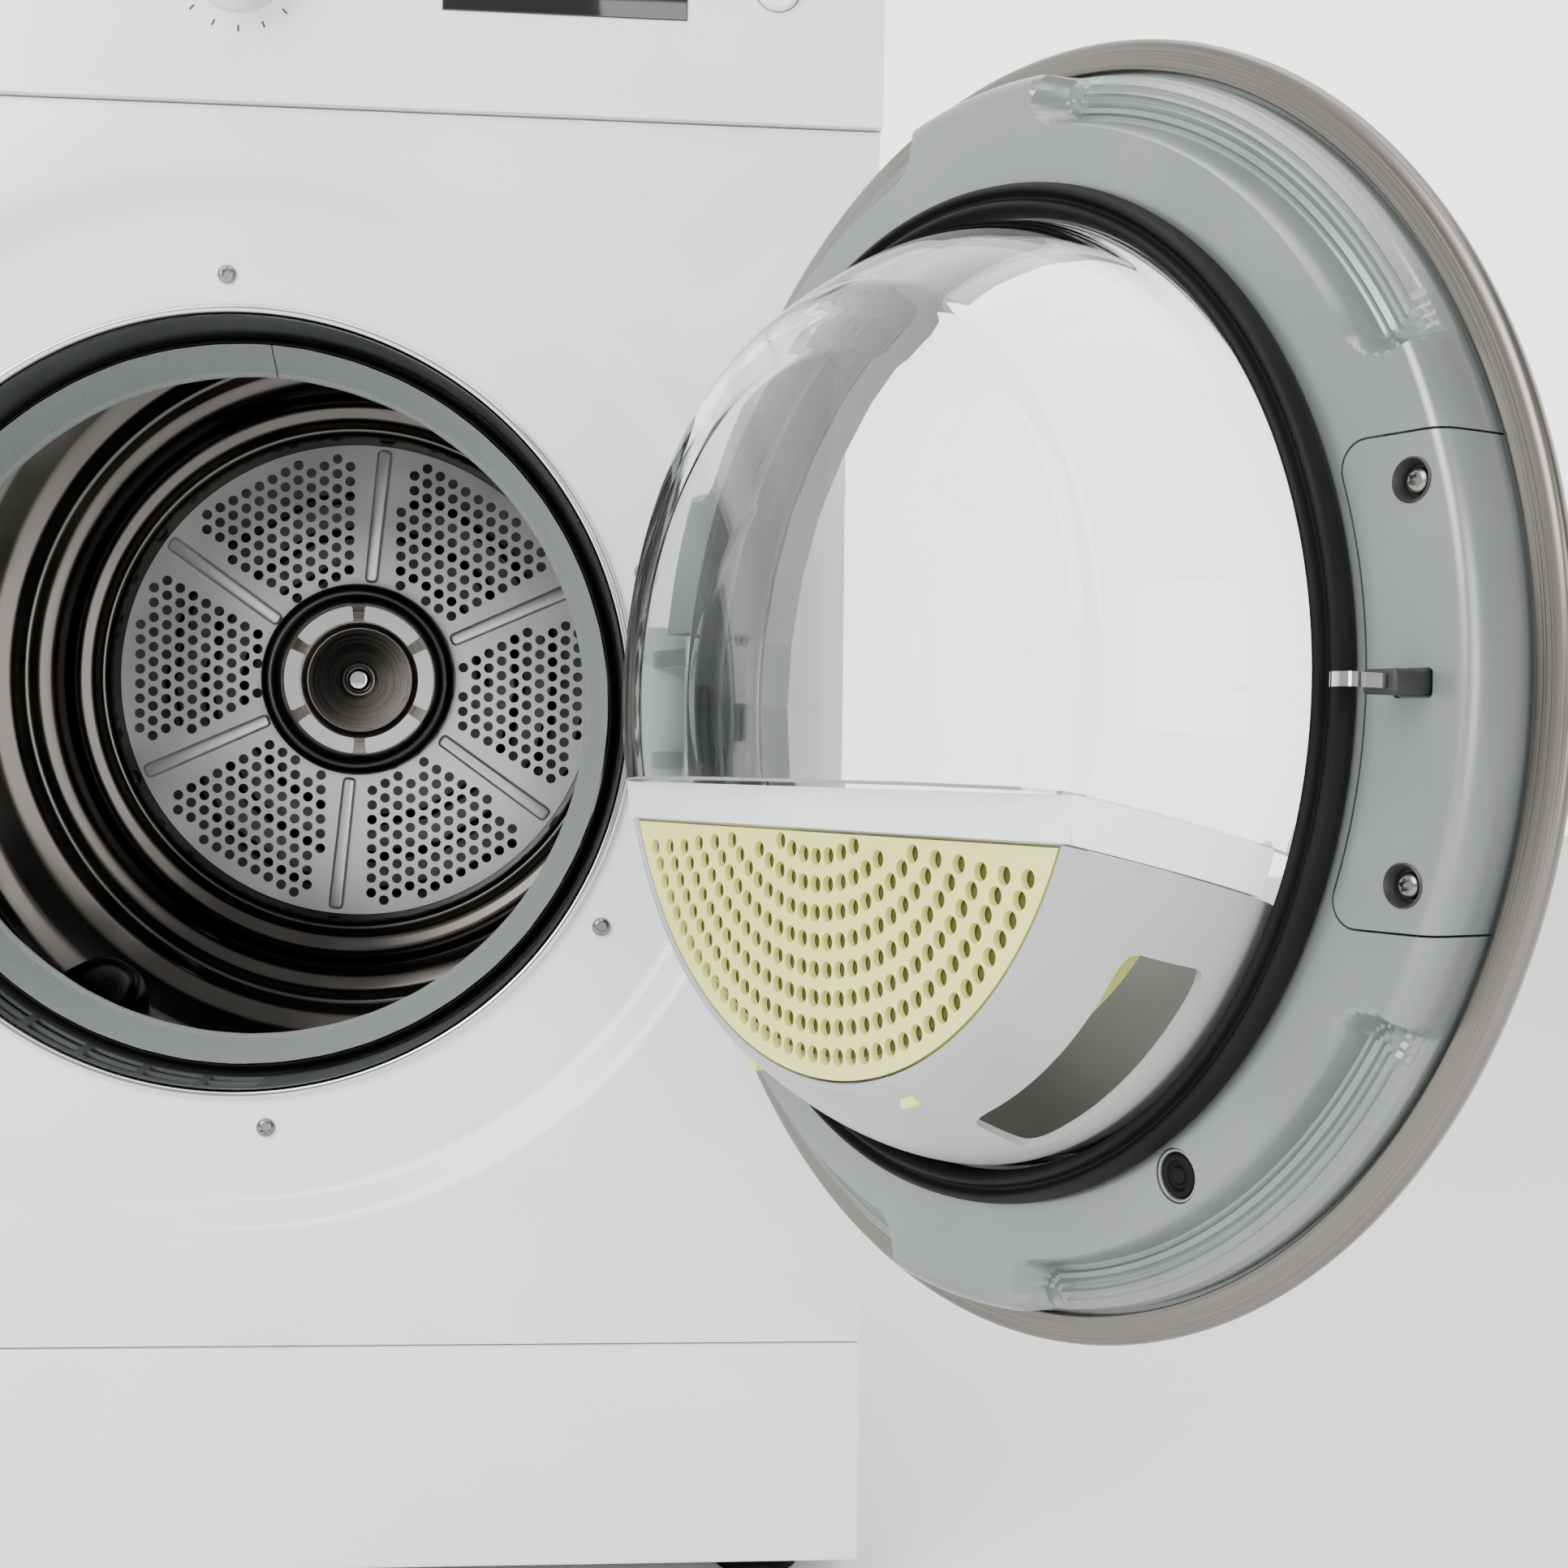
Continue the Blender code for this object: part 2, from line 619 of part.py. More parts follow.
def build_drive(front, drum):
    """The motor, its shaft with pulley and blower wheel, the belt, the idler and the rollers."""
    turned_part(
        "motor",
        [(0.0080, -0.2000), (0.0540, -0.2000), (0.0560, -0.2060), (0.0560, -0.3140),
         (0.0540, -0.3200), (0.0080, -0.3200)],
        ZINC, front, 24, (MOTOR_X, MOTOR_DROP),
    )
    rotor = add_frame("rotor_frame", (MOTOR_X, MOTOR_DROP, 0), (0, 0, 0), front)
    pulley_low, pulley_high = -BELT_DEPTH - 0.007, -BELT_DEPTH + 0.007
    turned_part(
        "motor_shaft",
        [
            (0, -0.0700), (0.0070, -0.0700), (0.0070, pulley_high + 0.001), (0.0125, pulley_high),
            (0.0125, pulley_high - 0.0012), (PULLEY_RADIUS, pulley_high - 0.0016),
            (PULLEY_RADIUS, pulley_low + 0.0016), (0.0125, pulley_low + 0.0012),
            (0.0125, pulley_low), (0, pulley_low),
        ],
        ZINC, rotor, 20,
    )
    bm = bmesh.new()
    blades = 18
    add_rod(bm, 0.060, (0, 0, -0.1085), (0, 0, -0.1070), 32)
    wheel = add_part("blower_wheel", mesh_of("blower_wheel", bm), DARK, rotor)
    bore = bmesh.new()
    add_rod(bore, 0.0075, (0, 0, -0.1150), (0, 0, -0.0500), 24)
    vanes = bmesh.new()
    for i in range(blades):
        turn = Matrix.Rotation(2 * math.pi * i / blades, 4, "Z")
        add_box(vanes, (0.046, -0.0008, -0.1075), (0.058, 0.0008, -0.0640), turn)
    join = wheel.modifiers.new("vanes", "BOOLEAN")
    join.operation = "UNION"
    join.object = add_cutter("blower_vanes", vanes, rotor)
    cut(wheel, add_cutter("blower_bore", bore, rotor))

    plate_part(
        "drum_belt", [belt_loop(BELT_SLACK), belt_loop(BELT_SLACK + BELT_THICKNESS)],
        -BELT_DEPTH - BELT_WIDTH / 2, -BELT_DEPTH + BELT_WIDTH / 2, BLACK, drum,
    )
    pivot = build_idler(drum)
    for (x, y), name in zip(roller_spots(), ("left", "right")):
        axle_frame = add_frame(f"roller_frame_{name}", (x, y, 0), (0, 0, 0), drum)
        turned_part(
            f"drum_roller_{name}",
            [
                (0.0055, -0.1000), (ROLLER_RADIUS - 0.002, -0.1000), (ROLLER_RADIUS, -0.1020),
                (ROLLER_RADIUS, -0.1200), (ROLLER_RADIUS - 0.002, -0.1220), (0.0055, -0.1220),
            ],
            BLACK, axle_frame, 24,
        )
    base = 0.0042 - MOUTH_HEIGHT
    bm = bmesh.new()
    add_box(bm, (MOTOR_X - 0.045, base, -0.3640), (MOTOR_X + 0.045, base + 0.006, -0.2150))
    mount = add_part("motor_mount", mesh_of("motor_mount", bm), ZINC, front)
    shape = bmesh.new()
    add_box(shape, (MOTOR_X - 0.044, base + 0.003, -0.3050), (MOTOR_X + 0.044, MOTOR_DROP - 0.0565, -0.2200))
    join = mount.modifiers.new("cradle", "BOOLEAN")
    join.operation = "UNION"
    join.object = add_cutter("mount_cradle", shape, front)
    shape = bmesh.new()
    add_box(
        shape, (min(pivot.x - 0.014, MOTOR_X), base + 0.003, -0.3640),
        (pivot.x + 0.014, pivot.y + DRUM_RAISE + 0.012, -0.3610),
    )
    join = mount.modifiers.new("upright", "BOOLEAN")
    join.operation = "UNION"
    join.object = add_cutter("mount_upright", shape, front)
    bore = bmesh.new()
    level = pivot.y + DRUM_RAISE
    add_rod(bore, 0.0062, (pivot.x, level, -0.3700), (pivot.x, level, -0.3550), 24)
    cut(mount, add_cutter("mount_bore", bore, front))


def build_idler(drum):
    """The idler that presses on the belt's lower run, on an arm that swings on a floor pivot."""
    centre = Vector((MOTOR_X, MOTOR_DROP - DRUM_RAISE))
    reach = BELT_SLACK + BELT_THICKNESS
    lean = math.acos((DRUM_RADIUS - PULLEY_RADIUS) / centre.length)
    normal = math.atan2(centre.y, centre.x) + lean
    outward = Vector(polar(1, normal))
    along = Vector((-outward.y, outward.x))
    roller_radius = 0.014
    spot = centre + outward * (PULLEY_RADIUS + reach + roller_radius + 0.0006) + along * 0.105
    pivot = Vector((spot.x + 0.075, 0.036 - MOUTH_HEIGHT - DRUM_RAISE))
    arm_frame = add_frame("idler_frame", (*pivot, 0), (0, 0, 0), drum)
    reach_vector = spot - pivot
    reach_angle = math.atan2(reach_vector.y, reach_vector.x)
    outline = arc_points(0.011, reach_angle + math.pi / 2, reach_angle + 1.5 * math.pi, 9)
    outline += arc_points(0.009, reach_angle - math.pi / 2, reach_angle + math.pi / 2, 9, reach_vector)
    arm = bmesh.new()
    low, high = -BELT_DEPTH - 0.0115, -BELT_DEPTH - 0.0085
    add_prism(arm, outline, low, high)
    obj = add_part("idler_arm", mesh_of("idler_arm", arm), ZINC, arm_frame)
    pin = bmesh.new()
    add_rod(pin, 0.0058, (0, 0, -BELT_DEPTH - 0.022), (0, 0, -BELT_DEPTH - 0.010), 20)
    join = obj.modifiers.new("pin", "BOOLEAN")
    join.operation = "UNION"
    join.object = add_cutter("idler_pin", pin, arm_frame)
    bore = bmesh.new()
    add_rod(bore, 0.0042, (*reach_vector, -BELT_DEPTH - 0.020), (*reach_vector, -BELT_DEPTH), 16)
    cut(obj, add_cutter("idler_bore", bore, arm_frame))
    roller_frame = add_frame("idler_roller_frame", (*spot, 0), (0, 0, 0), drum)
    turned_part(
        "idler_pulley",
        [(0, -BELT_DEPTH + 0.0065), (roller_radius, -BELT_DEPTH + 0.0065),
         (roller_radius, -BELT_DEPTH - 0.0065), (0.0038, -BELT_DEPTH - 0.0068),
         (0.0038, -BELT_DEPTH - 0.0130), (0, -BELT_DEPTH - 0.0130)],
        DARK, roller_frame, 24,
    )
    return pivot


# ---------------------------------------------------------------- controls
def build_controls(world):
    """The control fascia with its window, selector knob, push buttons and board."""
    low = FASCIA_BOTTOM
    high = CABINET_HEIGHT - TOP_THICKNESS - GAP
    bm = bmesh.new()
    add_box(bm, (-HALF_WIDTH, FRONT_Y - 0.004, low), (HALF_WIDTH, FRONT_Y + 0.021, high))
    back = [f for f in bm.faces if f.normal.y > 0.9]
    bmesh.ops.delete(bm, geom=back, context="FACES")
    fascia = add_part("control_fascia", mesh_of("control_fascia", bm), WHITE, world)
    wall = fascia.modifiers.new("wall", "SOLIDIFY")
    wall.thickness = 0.003
    wall.offset = -1
    middle = (low + high) / 2
    face = FRONT_Y - 0.004
    holes = bmesh.new()
    add_rod(holes, 0.0055, (0, face - 0.01, middle), (0, face + 0.01, middle), 24)
    for x, _name in BUTTONS:
        add_rod(holes, 0.0112, (x, face - 0.01, middle), (x, face + 0.01, middle), 32)
    cut(fascia, add_cutter("fascia_holes", holes, world))
    box_part(
        "control_board", (-0.262, face + 0.0145, middle - 0.040),
        (0.262, face + 0.0165, middle + 0.040), ((0.05, 0.2, 0.08), 0.5, 0.0), world,
    )
    knob_frame = add_frame("knob_frame", (0, face, middle), FACING, world)
    turned_part(
        "program_knob",
        [(0, 0.0200), (0.0180, 0.0200), (0.0205, 0.0185), (0.0225, 0.0006), (0.0050, 0.0006),
         (0.0050, -0.0110), (0, -0.0110)],
        STEEL, knob_frame, 24,
    )
    for x, name in BUTTONS:
        button_frame = add_frame(f"{name}_frame", (x, face, middle), FACING, world)
        turned_part(
            name,
            [(0, 0.0035), (0.0090, 0.0035), (0.0105, 0.0025), (0.0105, -0.0036), (0.0130, -0.0036),
             (0.0130, -0.0056), (0, -0.0056)],
            WHITE, button_frame, 20,
        )


BUTTONS = (
    (-0.235, "power_button"),
    (0.247, "start_button"),
)


# ---------------------------------------------------------------- door
def build_hinge(front, door):
    """The bracket and pin on the front panel, and the leaf inside the door."""
    bm = bmesh.new()
    add_box(bm, (0.1868, -0.040, 0.0004), (0.2075, 0.040, 0.0024))
    bracket = add_part("hinge_bracket", mesh_of("hinge_bracket", bm), ZINC, front)
    arms = bmesh.new()
    elbow, shoulder = (0.2092, 0.0350), (0.1948, 0.0087)
    path = [(HINGE_X, HINGE_OUT), elbow, shoulder, (shoulder[0], 0.0032)]
    for low in (-0.028, 0.020):
        for start, end in zip(path, path[1:]):
            add_link(arms, start, end, low, low + 0.008, 0.0025)
        add_rod(arms, KNUCKLE_RADIUS, (HINGE_X, low, HINGE_OUT), (HINGE_X, low + 0.008, HINGE_OUT), 20)
    join = bracket.modifiers.new("arms", "BOOLEAN")
    join.operation = "UNION"
    join.use_self = True
    join.object = add_cutter("hinge_arms", arms, front)
    bore = bmesh.new()
    add_rod(bore, 0.0027, (HINGE_X, -0.035, HINGE_OUT), (HINGE_X, 0.035, HINGE_OUT), 20)
    cut(bracket, add_cutter("hinge_bore", bore, front))
    rod_part(
        "hinge_pin", [(0.0024, (HINGE_X, -0.031, HINGE_OUT), (HINGE_X, 0.031, HINGE_OUT))],
        STEEL, front, 20,
    )
    bm = bmesh.new()
    add_rod(bm, KNUCKLE_RADIUS, (0, -0.0190, 0), (0, 0.0190, 0), 20)
    leaf = add_part("hinge_leaf", mesh_of("hinge_leaf", bm), ZINC, door)
    tab = bmesh.new()
    add_box(tab, (-0.0290, -0.0185, -0.0035), (-0.0015, 0.0185, 0.0))
    add_box(tab, (-0.0450, -0.0300, -0.0060), (-0.0275, 0.0300, -0.0026))
    join = leaf.modifiers.new("tab", "BOOLEAN")
    join.operation = "UNION"
    join.use_self = True
    join.object = add_cutter("hinge_tab", tab, door)
    bore = bmesh.new()
    add_rod(bore, 0.0027, (0, -0.035, 0), (0, 0.035, 0), 20)
    cut(leaf, add_cutter("leaf_bore", bore, door))


def add_link(bm, start, end, y_low, y_high, radius):
    """Adds a flat arm with round ends between two (x, z) points to the bmesh."""
    run = Vector((end[0] - start[0], 0, end[1] - start[1]))
    turn = Matrix.Translation((start[0], 0, start[1]))
    turn = turn @ Matrix.Rotation(-math.atan2(run.z, run.x), 4, "Y")
    add_box(bm, (0, y_low, -radius), (run.length, y_high, radius), turn)
    for x, z in (start, end):
        add_rod(bm, radius, (x, y_low, z), (x, y_high, z), 12)


def build_door_body(disc):
    """The steel rim, the frame behind it, the outer glass and the grey liner with its window."""
    rim = turned_part(
        "door_rim",
        [
            (0.2180, 0.0250), (0.2285, 0.0262), (0.2300, 0.0280), (0.2290, 0.0315), (0.2262, 0.0358),
            (0.2225, 0.0410), (0.2165, 0.0460), (0.2080, 0.0487), (0.1960, 0.0500), (0.1945, 0.0485),
            (0.2080, 0.0465), (0.2150, 0.0440), (0.2203, 0.0395), (0.2240, 0.0345), (0.2262, 0.0300),
            (0.2262, 0.0284), (0.2180, 0.0268),
        ],
        STEEL, disc,
    )
    notch = bmesh.new()
    add_box(notch, (0.2150, -HINGE_HALF, 0.0200), (0.2225, HINGE_HALF, 0.0300))
    cut(rim, add_cutter("rim_notch", notch, disc))
    frame = turned_part(
        "door_frame",
        [
            (0.1640, 0.0285), (0.2205, 0.0285), (0.2215, 0.0330), (0.2185, 0.0380), (0.2130, 0.0425),
            (0.2060, 0.0450), (0.1930, 0.0462), (0.1930, 0.0425), (0.1640, 0.0425),
        ],
        DARK, disc,
    )
    pocket = bmesh.new()
    add_box(pocket, (0.1880, -HINGE_HALF, 0.0200), (0.2230, HINGE_HALF, 0.0385))
    cut(frame, add_cutter("frame_pocket", pocket, disc))
    turned_part(
        "door_glass",
        [(0, 0.0430), (0.1924, 0.0430), (0.1924, 0.0478), (0.1905, 0.0490), (0, 0.0490)],
        GLASS, disc,
    )
    liner = turned_part(
        "door_liner",
        [
            (0.1700, LINER_FACE), (0.2130, LINER_FACE), (0.2155, 0.0065), (0.2176, 0.0230),
            (0.2176, 0.0282), (0.2146, 0.0282), (0.2128, 0.0085), (0.2110, 0.0068), (0.1700, 0.0068),
        ],
        GREY, disc,
    )
    window = bmesh.new()
    add_box(window, (0.1880, -HINGE_HALF, -0.0020), (0.2400, HINGE_HALF, 0.0290))
    add_prism(window, cover_outline(COVER_RADIUS - 0.0016, COVER_HALF + 0.0003, 0.240), -0.002, 0.0246)
    x, y = polar(BUMPER_RADIUS, BUMPER_ANGLE)
    add_rod(window, 0.0088, (x, y, 0), (x, y, 0.0120), 24)
    cut(liner, add_cutter("liner_windows", window, disc))
    build_latch(disc)
    turned_part(
        "door_bumper",
        [(0, 0.0046), (0.0030, 0.0046), (0.0036, 0.0056), (0.0048, 0.0056), (0.0054, 0.0044),
         (0.0078, 0.0044), (0.0083, 0.0052), (0.0083, 0.0092), (0, 0.0092)],
        BLACK, disc, 24, (x, y),
    )


def cover_outline(radius, half, far, count=12):
    """The latch cover's strip: a round inner side, straight ends, open towards the rim."""
    heights = [half * (2 * i / count - 1) for i in range(count + 1)]
    inner = [(-math.sqrt(radius * radius - y * y), y) for y in heights]
    return [(-far, half), (-far, -half)] + inner


def build_latch(disc):
    """The cover plate at the free edge with its two sunk screws, and the hook between them."""
    cover = turned_part(
        "latch_cover",
        [
            (0.1700, LINER_FACE), (0.2130, LINER_FACE), (0.2155, 0.0065), (0.2176, 0.0230),
            (0.2150, 0.0240), (0.2128, 0.0085), (0.2110, 0.0068), (0.1700, 0.0068),
        ],
        GREY, disc,
    )
    keep = bmesh.new()
    add_prism(keep, cover_outline(COVER_RADIUS, COVER_HALF, 0.260), -0.02, 0.06)
    part = cover.modifiers.new("sector", "BOOLEAN")
    part.operation = "INTERSECT"
    part.object = add_cutter("cover_sector", keep, disc)
    holes = bmesh.new()
    for y in (-0.0556, 0.0556):
        add_rod(holes, 0.0060, (-0.1950, y, 0.000), (-0.1950, y, 0.012), 24)
    add_rod(holes, 0.0070, (LATCH_X, 0, 0.000), (LATCH_X, 0, 0.012), 24)
    cut(cover, add_cutter("cover_holes", holes, disc))
    bm = bmesh.new()
    add_box(bm, (LATCH_X - 0.0045, -0.0048, -0.0120), (LATCH_X + 0.0045, 0.0048, 0.0150))
    hook = add_part("latch_hook", mesh_of("latch_hook", bm), STEEL, disc)
    tip = bmesh.new()
    add_rod(tip, 0.0026, (LATCH_X, 0, -0.0115), (LATCH_X, 0, -0.0270), 16)
    join = hook.modifiers.new("tip", "BOOLEAN")
    join.operation = "UNION"
    join.object = add_cutter("hook_tip", tip, disc)


def bowl_radius(depth):
    """Radius of the bowl's side at a depth in from the liner."""
    share = max(0.0, min(1.0, depth / BOWL_DEPTH))
    return BOWL_BASE_RADIUS + (BOWL_RIM_RADIUS - BOWL_BASE_RADIUS) * share**1.6


def bowl_profile(shrink, depths):
    """Points down the bowl's side, drawn in by a wall thickness."""
    return [(bowl_radius(d) - shrink, -d) for d in depths]


def slope_cutter(name, top_offset, far, disc):
    """A cutter whose near face follows the filter's sloping top, moved down by an offset."""
    beyond = 0.030
    bm = bmesh.new()
    rows = [(0.05, BAND_TOP - BAND_DROP), (0, BAND_TOP - BAND_DROP),
            (-BOWL_DEPTH - beyond, BAND_TOP + BAND_DROP * beyond / BOWL_DEPTH)]
    loops = []
    for x in (-0.4, 0.4):
        near = [bm.verts.new((x, rise - top_offset, z)) for z, rise in rows]
        away = [bm.verts.new((x, far, z)) for z, _rise in reversed(rows)]
        loops.append(near + away)
    bm.faces.new(loops[0])
    bm.faces.new(loops[1][::-1])
    count = len(loops[0])
    for i in range(count):
        j = (i + 1) % count
        bm.faces.new((loops[0][i], loops[1][i], loops[1][j], loops[0][j]))
    return add_cutter(name, bm, disc)


def build_bowl(disc):
    """The glass bowl above the filter, the gasket round it and the grey filter housing below."""
    turned_part(
        "door_gasket",
        [
            (0.1690, 0.0037), (GASKET_RADIUS, 0.0037), (GASKET_RADIUS, 0.0010),
            (0.1765, -0.0040), (0.1735, -0.0050), (0.1700, -0.0045), (0.1668, -0.0010),
            (0.1668, 0.0037),
        ],
        BLACK, disc,
    )
    depths = [BOWL_DEPTH * i / 6 for i in range(7)]
    outer = [(0.1663, 0.0270)] + [(0.1663, 0.0)] + bowl_profile(0, depths[1:])
    face = -BOWL_DEPTH
    outer += [(0.1300, face - 0.0050), (0.1150, face - 0.0075), (0, face - 0.0095)]
    wall = 0.0045
    inner = [(0, face - 0.0095 + wall), (0.1140, face - 0.0075 + wall), (0.1270, face - 0.0050 + wall)]
    inner += list(reversed(bowl_profile(wall, depths[1:]))) + [(0.1663 - wall, 0.0), (0.1663 - wall, 0.0270)]
    bowl = turned_part("door_bowl", outer + inner, GLASS, disc)
    cut(bowl, slope_cutter("bowl_trim", -0.0006, -0.4, disc))

    lip = FILTER_RADIUS + 0.0010
    under = BOWL_DEPTH - 0.003
    outer = [(0.0600, 0.0270), (0.1640, 0.0270), (0.1640, 0.0), *bowl_profile(0.0004, depths[1:])]
    inner = [(lip, -BOWL_DEPTH), (lip, -under), *reversed(bowl_profile(0.0032, [*depths[1:-1], under]))]
    inner += [(0.1608, 0.0), (0.1608, 0.0245), (0.0600, 0.0245)]
    housing = turned_part("filter_housing", outer + inner, GREY, disc)
    cut(housing, slope_cutter("housing_trim", BAND_HEIGHT + 0.0006, 0.4, disc))
    window = bmesh.new()
    outline = ring_sector(0.120, 0.200, math.radians(-149), math.radians(-113), 12)
    add_prism(window, outline, -0.0360, -0.0120)
    cut(housing, add_cutter("housing_window", window, disc))
    build_filter(disc)


def build_filter(disc):
    """The lift-out filter: the white handle band, the perforated plate and the screen behind."""
    depths = [BOWL_DEPTH * i / 6 for i in range(7)]
    outer = bowl_profile(-0.0006, depths[1:])
    outer = [(0.1655, -0.0060)] + outer + [(BOWL_RIM_RADIUS - 0.001, -BOWL_DEPTH - 0.0012)]
    inner = [(0.1180, -BOWL_DEPTH - 0.0012), (0.1180, -BOWL_DEPTH + 0.0035)]
    inner += list(reversed(bowl_profile(0.0035, depths[1:]))) + [(0.1620, -0.0060)]
    band = turned_part("filter_handle", outer + inner, WHITE, disc)
    bar = bmesh.new()
    add_box(
        bar, (-0.1300, BAND_TOP - BAND_HEIGHT - BAND_DROP, -BOWL_DEPTH - 0.0012),
        (0.1300, BAND_TOP + BAND_DROP, -BOWL_DEPTH + 0.0060),
    )
    join = band.modifiers.new("bar", "BOOLEAN")
    join.operation = "UNION"
    join.object = add_cutter("band_bar", bar, disc)
    cut(band, slope_cutter("band_top", 0, 0.4, disc))
    cut(band, slope_cutter("band_bottom", BAND_HEIGHT, -0.4, disc))
    low_edge = BAND_TOP - BAND_HEIGHT - 0.0016
    start = math.asin(low_edge / FILTER_RADIUS)
    rim = arc_points(FILTER_RADIUS, start, -math.pi - start, 41)
    plate_part("filter_plate", [rim], -BOWL_DEPTH, -BOWL_DEPTH + 0.0025, YELLOW, disc)
    reach = 0.1255
    screen_edge = BAND_TOP - BAND_HEIGHT - BAND_DROP
    start = math.asin(screen_edge / reach)
    screen = arc_points(reach, start, -math.pi - start, 33)
    inner_start = math.asin((screen_edge - 0.003) / (reach - 0.003))
    hole = arc_points(reach - 0.003, inner_start, -math.pi - inner_start, 33)
    plate_part("filter_screen", [screen, hole], -0.0535, -0.0200, YELLOW, disc)


def main():
    """Builds the dryer with its door standing open."""
    world = add_frame("machine", (0, 0, 0))
    front = add_frame("mouth_frame", (0, PANEL_Y, MOUTH_HEIGHT), FACING, world)
    drum = add_frame("drum_frame", (0, DRUM_RAISE, 0), (0, 0, 0), front)
    door = add_frame("door_pivot", (HINGE_X, 0, HINGE_OUT), (0, DOOR_ANGLE, 0), front)
    disc = add_frame("door_centre", (-HINGE_X, 0, -HINGE_OUT), (0, 0, 0), door)
    build_panels(world)
    box_part(
        "plinth", (-HALF_WIDTH, FRONT_Y, GAP), (HALF_WIDTH, FRONT_Y + 0.020, PLINTH_HEIGHT),
        WHITE, world, 0.0015,
    )
    build_front_panel(front)
    build_mouth(front)
    build_bulkheads(front)
    build_lint_duct(front)
    build_air_path(front)
    build_drum(drum)
    build_bearing(drum)
    build_drive(front, drum)
    build_controls(world)
    build_hinge(front, door)
    build_door_body(disc)
    build_bowl(disc)
    bm = bmesh.new()
    add_box(bm, (LATCH_X - 0.014, -0.020, -0.0380), (LATCH_X + 0.0115, 0.020, -0.0016))
    catch = add_part("door_catch", mesh_of("door_catch", bm), DARK, front)
    pocket = bmesh.new()
    add_box(pocket, (LATCH_X - 0.008, -0.010, -0.0340), (LATCH_X + 0.009, 0.010, 0.0050))
    cut(catch, add_cutter("catch_pocket", pocket, front))


clear_scene()
PARTS = new_collection("clothes_dryer")
CUTTERS = new_collection("cutters")
main()
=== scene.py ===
"""Clothes dryer with its round door standing open: the finished look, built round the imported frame."""

import json
import logging
import math
from collections.abc import Callable, Sequence
from dataclasses import dataclass, field
from enum import Enum

import bmesh
import bpy
from mathutils import Matrix, Vector


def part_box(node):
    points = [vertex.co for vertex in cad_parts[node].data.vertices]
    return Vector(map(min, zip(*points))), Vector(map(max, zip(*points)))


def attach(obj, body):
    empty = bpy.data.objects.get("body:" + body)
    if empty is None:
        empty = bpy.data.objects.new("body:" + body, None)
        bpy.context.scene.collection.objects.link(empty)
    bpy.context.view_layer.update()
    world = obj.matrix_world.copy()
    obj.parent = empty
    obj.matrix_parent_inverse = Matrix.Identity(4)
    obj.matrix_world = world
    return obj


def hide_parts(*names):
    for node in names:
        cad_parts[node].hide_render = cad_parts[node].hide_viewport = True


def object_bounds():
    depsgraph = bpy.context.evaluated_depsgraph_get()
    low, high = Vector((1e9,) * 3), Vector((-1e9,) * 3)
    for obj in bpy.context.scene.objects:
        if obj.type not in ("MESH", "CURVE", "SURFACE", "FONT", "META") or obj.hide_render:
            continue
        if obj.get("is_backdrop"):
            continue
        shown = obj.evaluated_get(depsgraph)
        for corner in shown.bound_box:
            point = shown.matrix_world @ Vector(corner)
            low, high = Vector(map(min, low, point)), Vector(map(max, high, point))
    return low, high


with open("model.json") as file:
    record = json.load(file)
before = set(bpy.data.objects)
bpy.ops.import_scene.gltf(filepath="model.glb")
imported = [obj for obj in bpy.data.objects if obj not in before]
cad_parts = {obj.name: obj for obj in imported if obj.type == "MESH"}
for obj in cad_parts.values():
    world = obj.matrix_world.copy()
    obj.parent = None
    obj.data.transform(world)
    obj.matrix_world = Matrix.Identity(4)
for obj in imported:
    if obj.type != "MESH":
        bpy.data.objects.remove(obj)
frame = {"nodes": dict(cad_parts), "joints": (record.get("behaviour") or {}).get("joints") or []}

LOG = logging.getLogger("dryer")
MM = 0.001
Point = tuple[float, float]
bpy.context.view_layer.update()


# ---------------------------------------------------------------- finishes
def linear(shade: str) -> tuple[float, float, float, float]:
    """Turns an sRGB hex colour into the linear RGBA that a shader takes.

    Args:
        shade: Six hex digits after a hash.

    Returns:
        Linear red, green, blue and an alpha of one.
    """
    values = [int(shade[i:i + 2], 16) / 255 for i in (1, 3, 5)]
    red, green, blue = (v / 12.92 if v <= 0.04045 else ((v + 0.055) / 1.055) ** 2.4 for v in values)
    return red, green, blue, 1.0


def add_node(tree: bpy.types.NodeTree, kind: str, settings: dict | None = None, **inputs) -> bpy.types.Node:
    """Adds one node with its settings, and sets or links its inputs.

    Args:
        tree: The tree that takes the node.
        kind: The node's type.
        settings: Values of the node's own properties.
        **inputs: Socket names, with _ for a space, and a value or an output socket for each.

    Returns:
        The new node.
    """
    node = tree.nodes.new(kind)
    for name, value in (settings or {}).items():
        setattr(node, name, value)
    for name, value in inputs.items():
        socket = node.inputs[name.replace("_", " ")]
        if isinstance(value, bpy.types.NodeSocket):
            tree.links.new(value, socket)
        else:
            socket.default_value = value
    return node


class Pattern(Enum):
    """How a finish varies over a surface."""

    MOULDED = "fine moulded texture"
    ORANGE_PEEL = "soft waves of sprayed enamel"
    BRUSHED = "lines that run round a turned piece"
    ROLLED = "cloudy sheet metal"
    FELTED = "matted fibres"
    CLEAR = "nothing but its gloss"


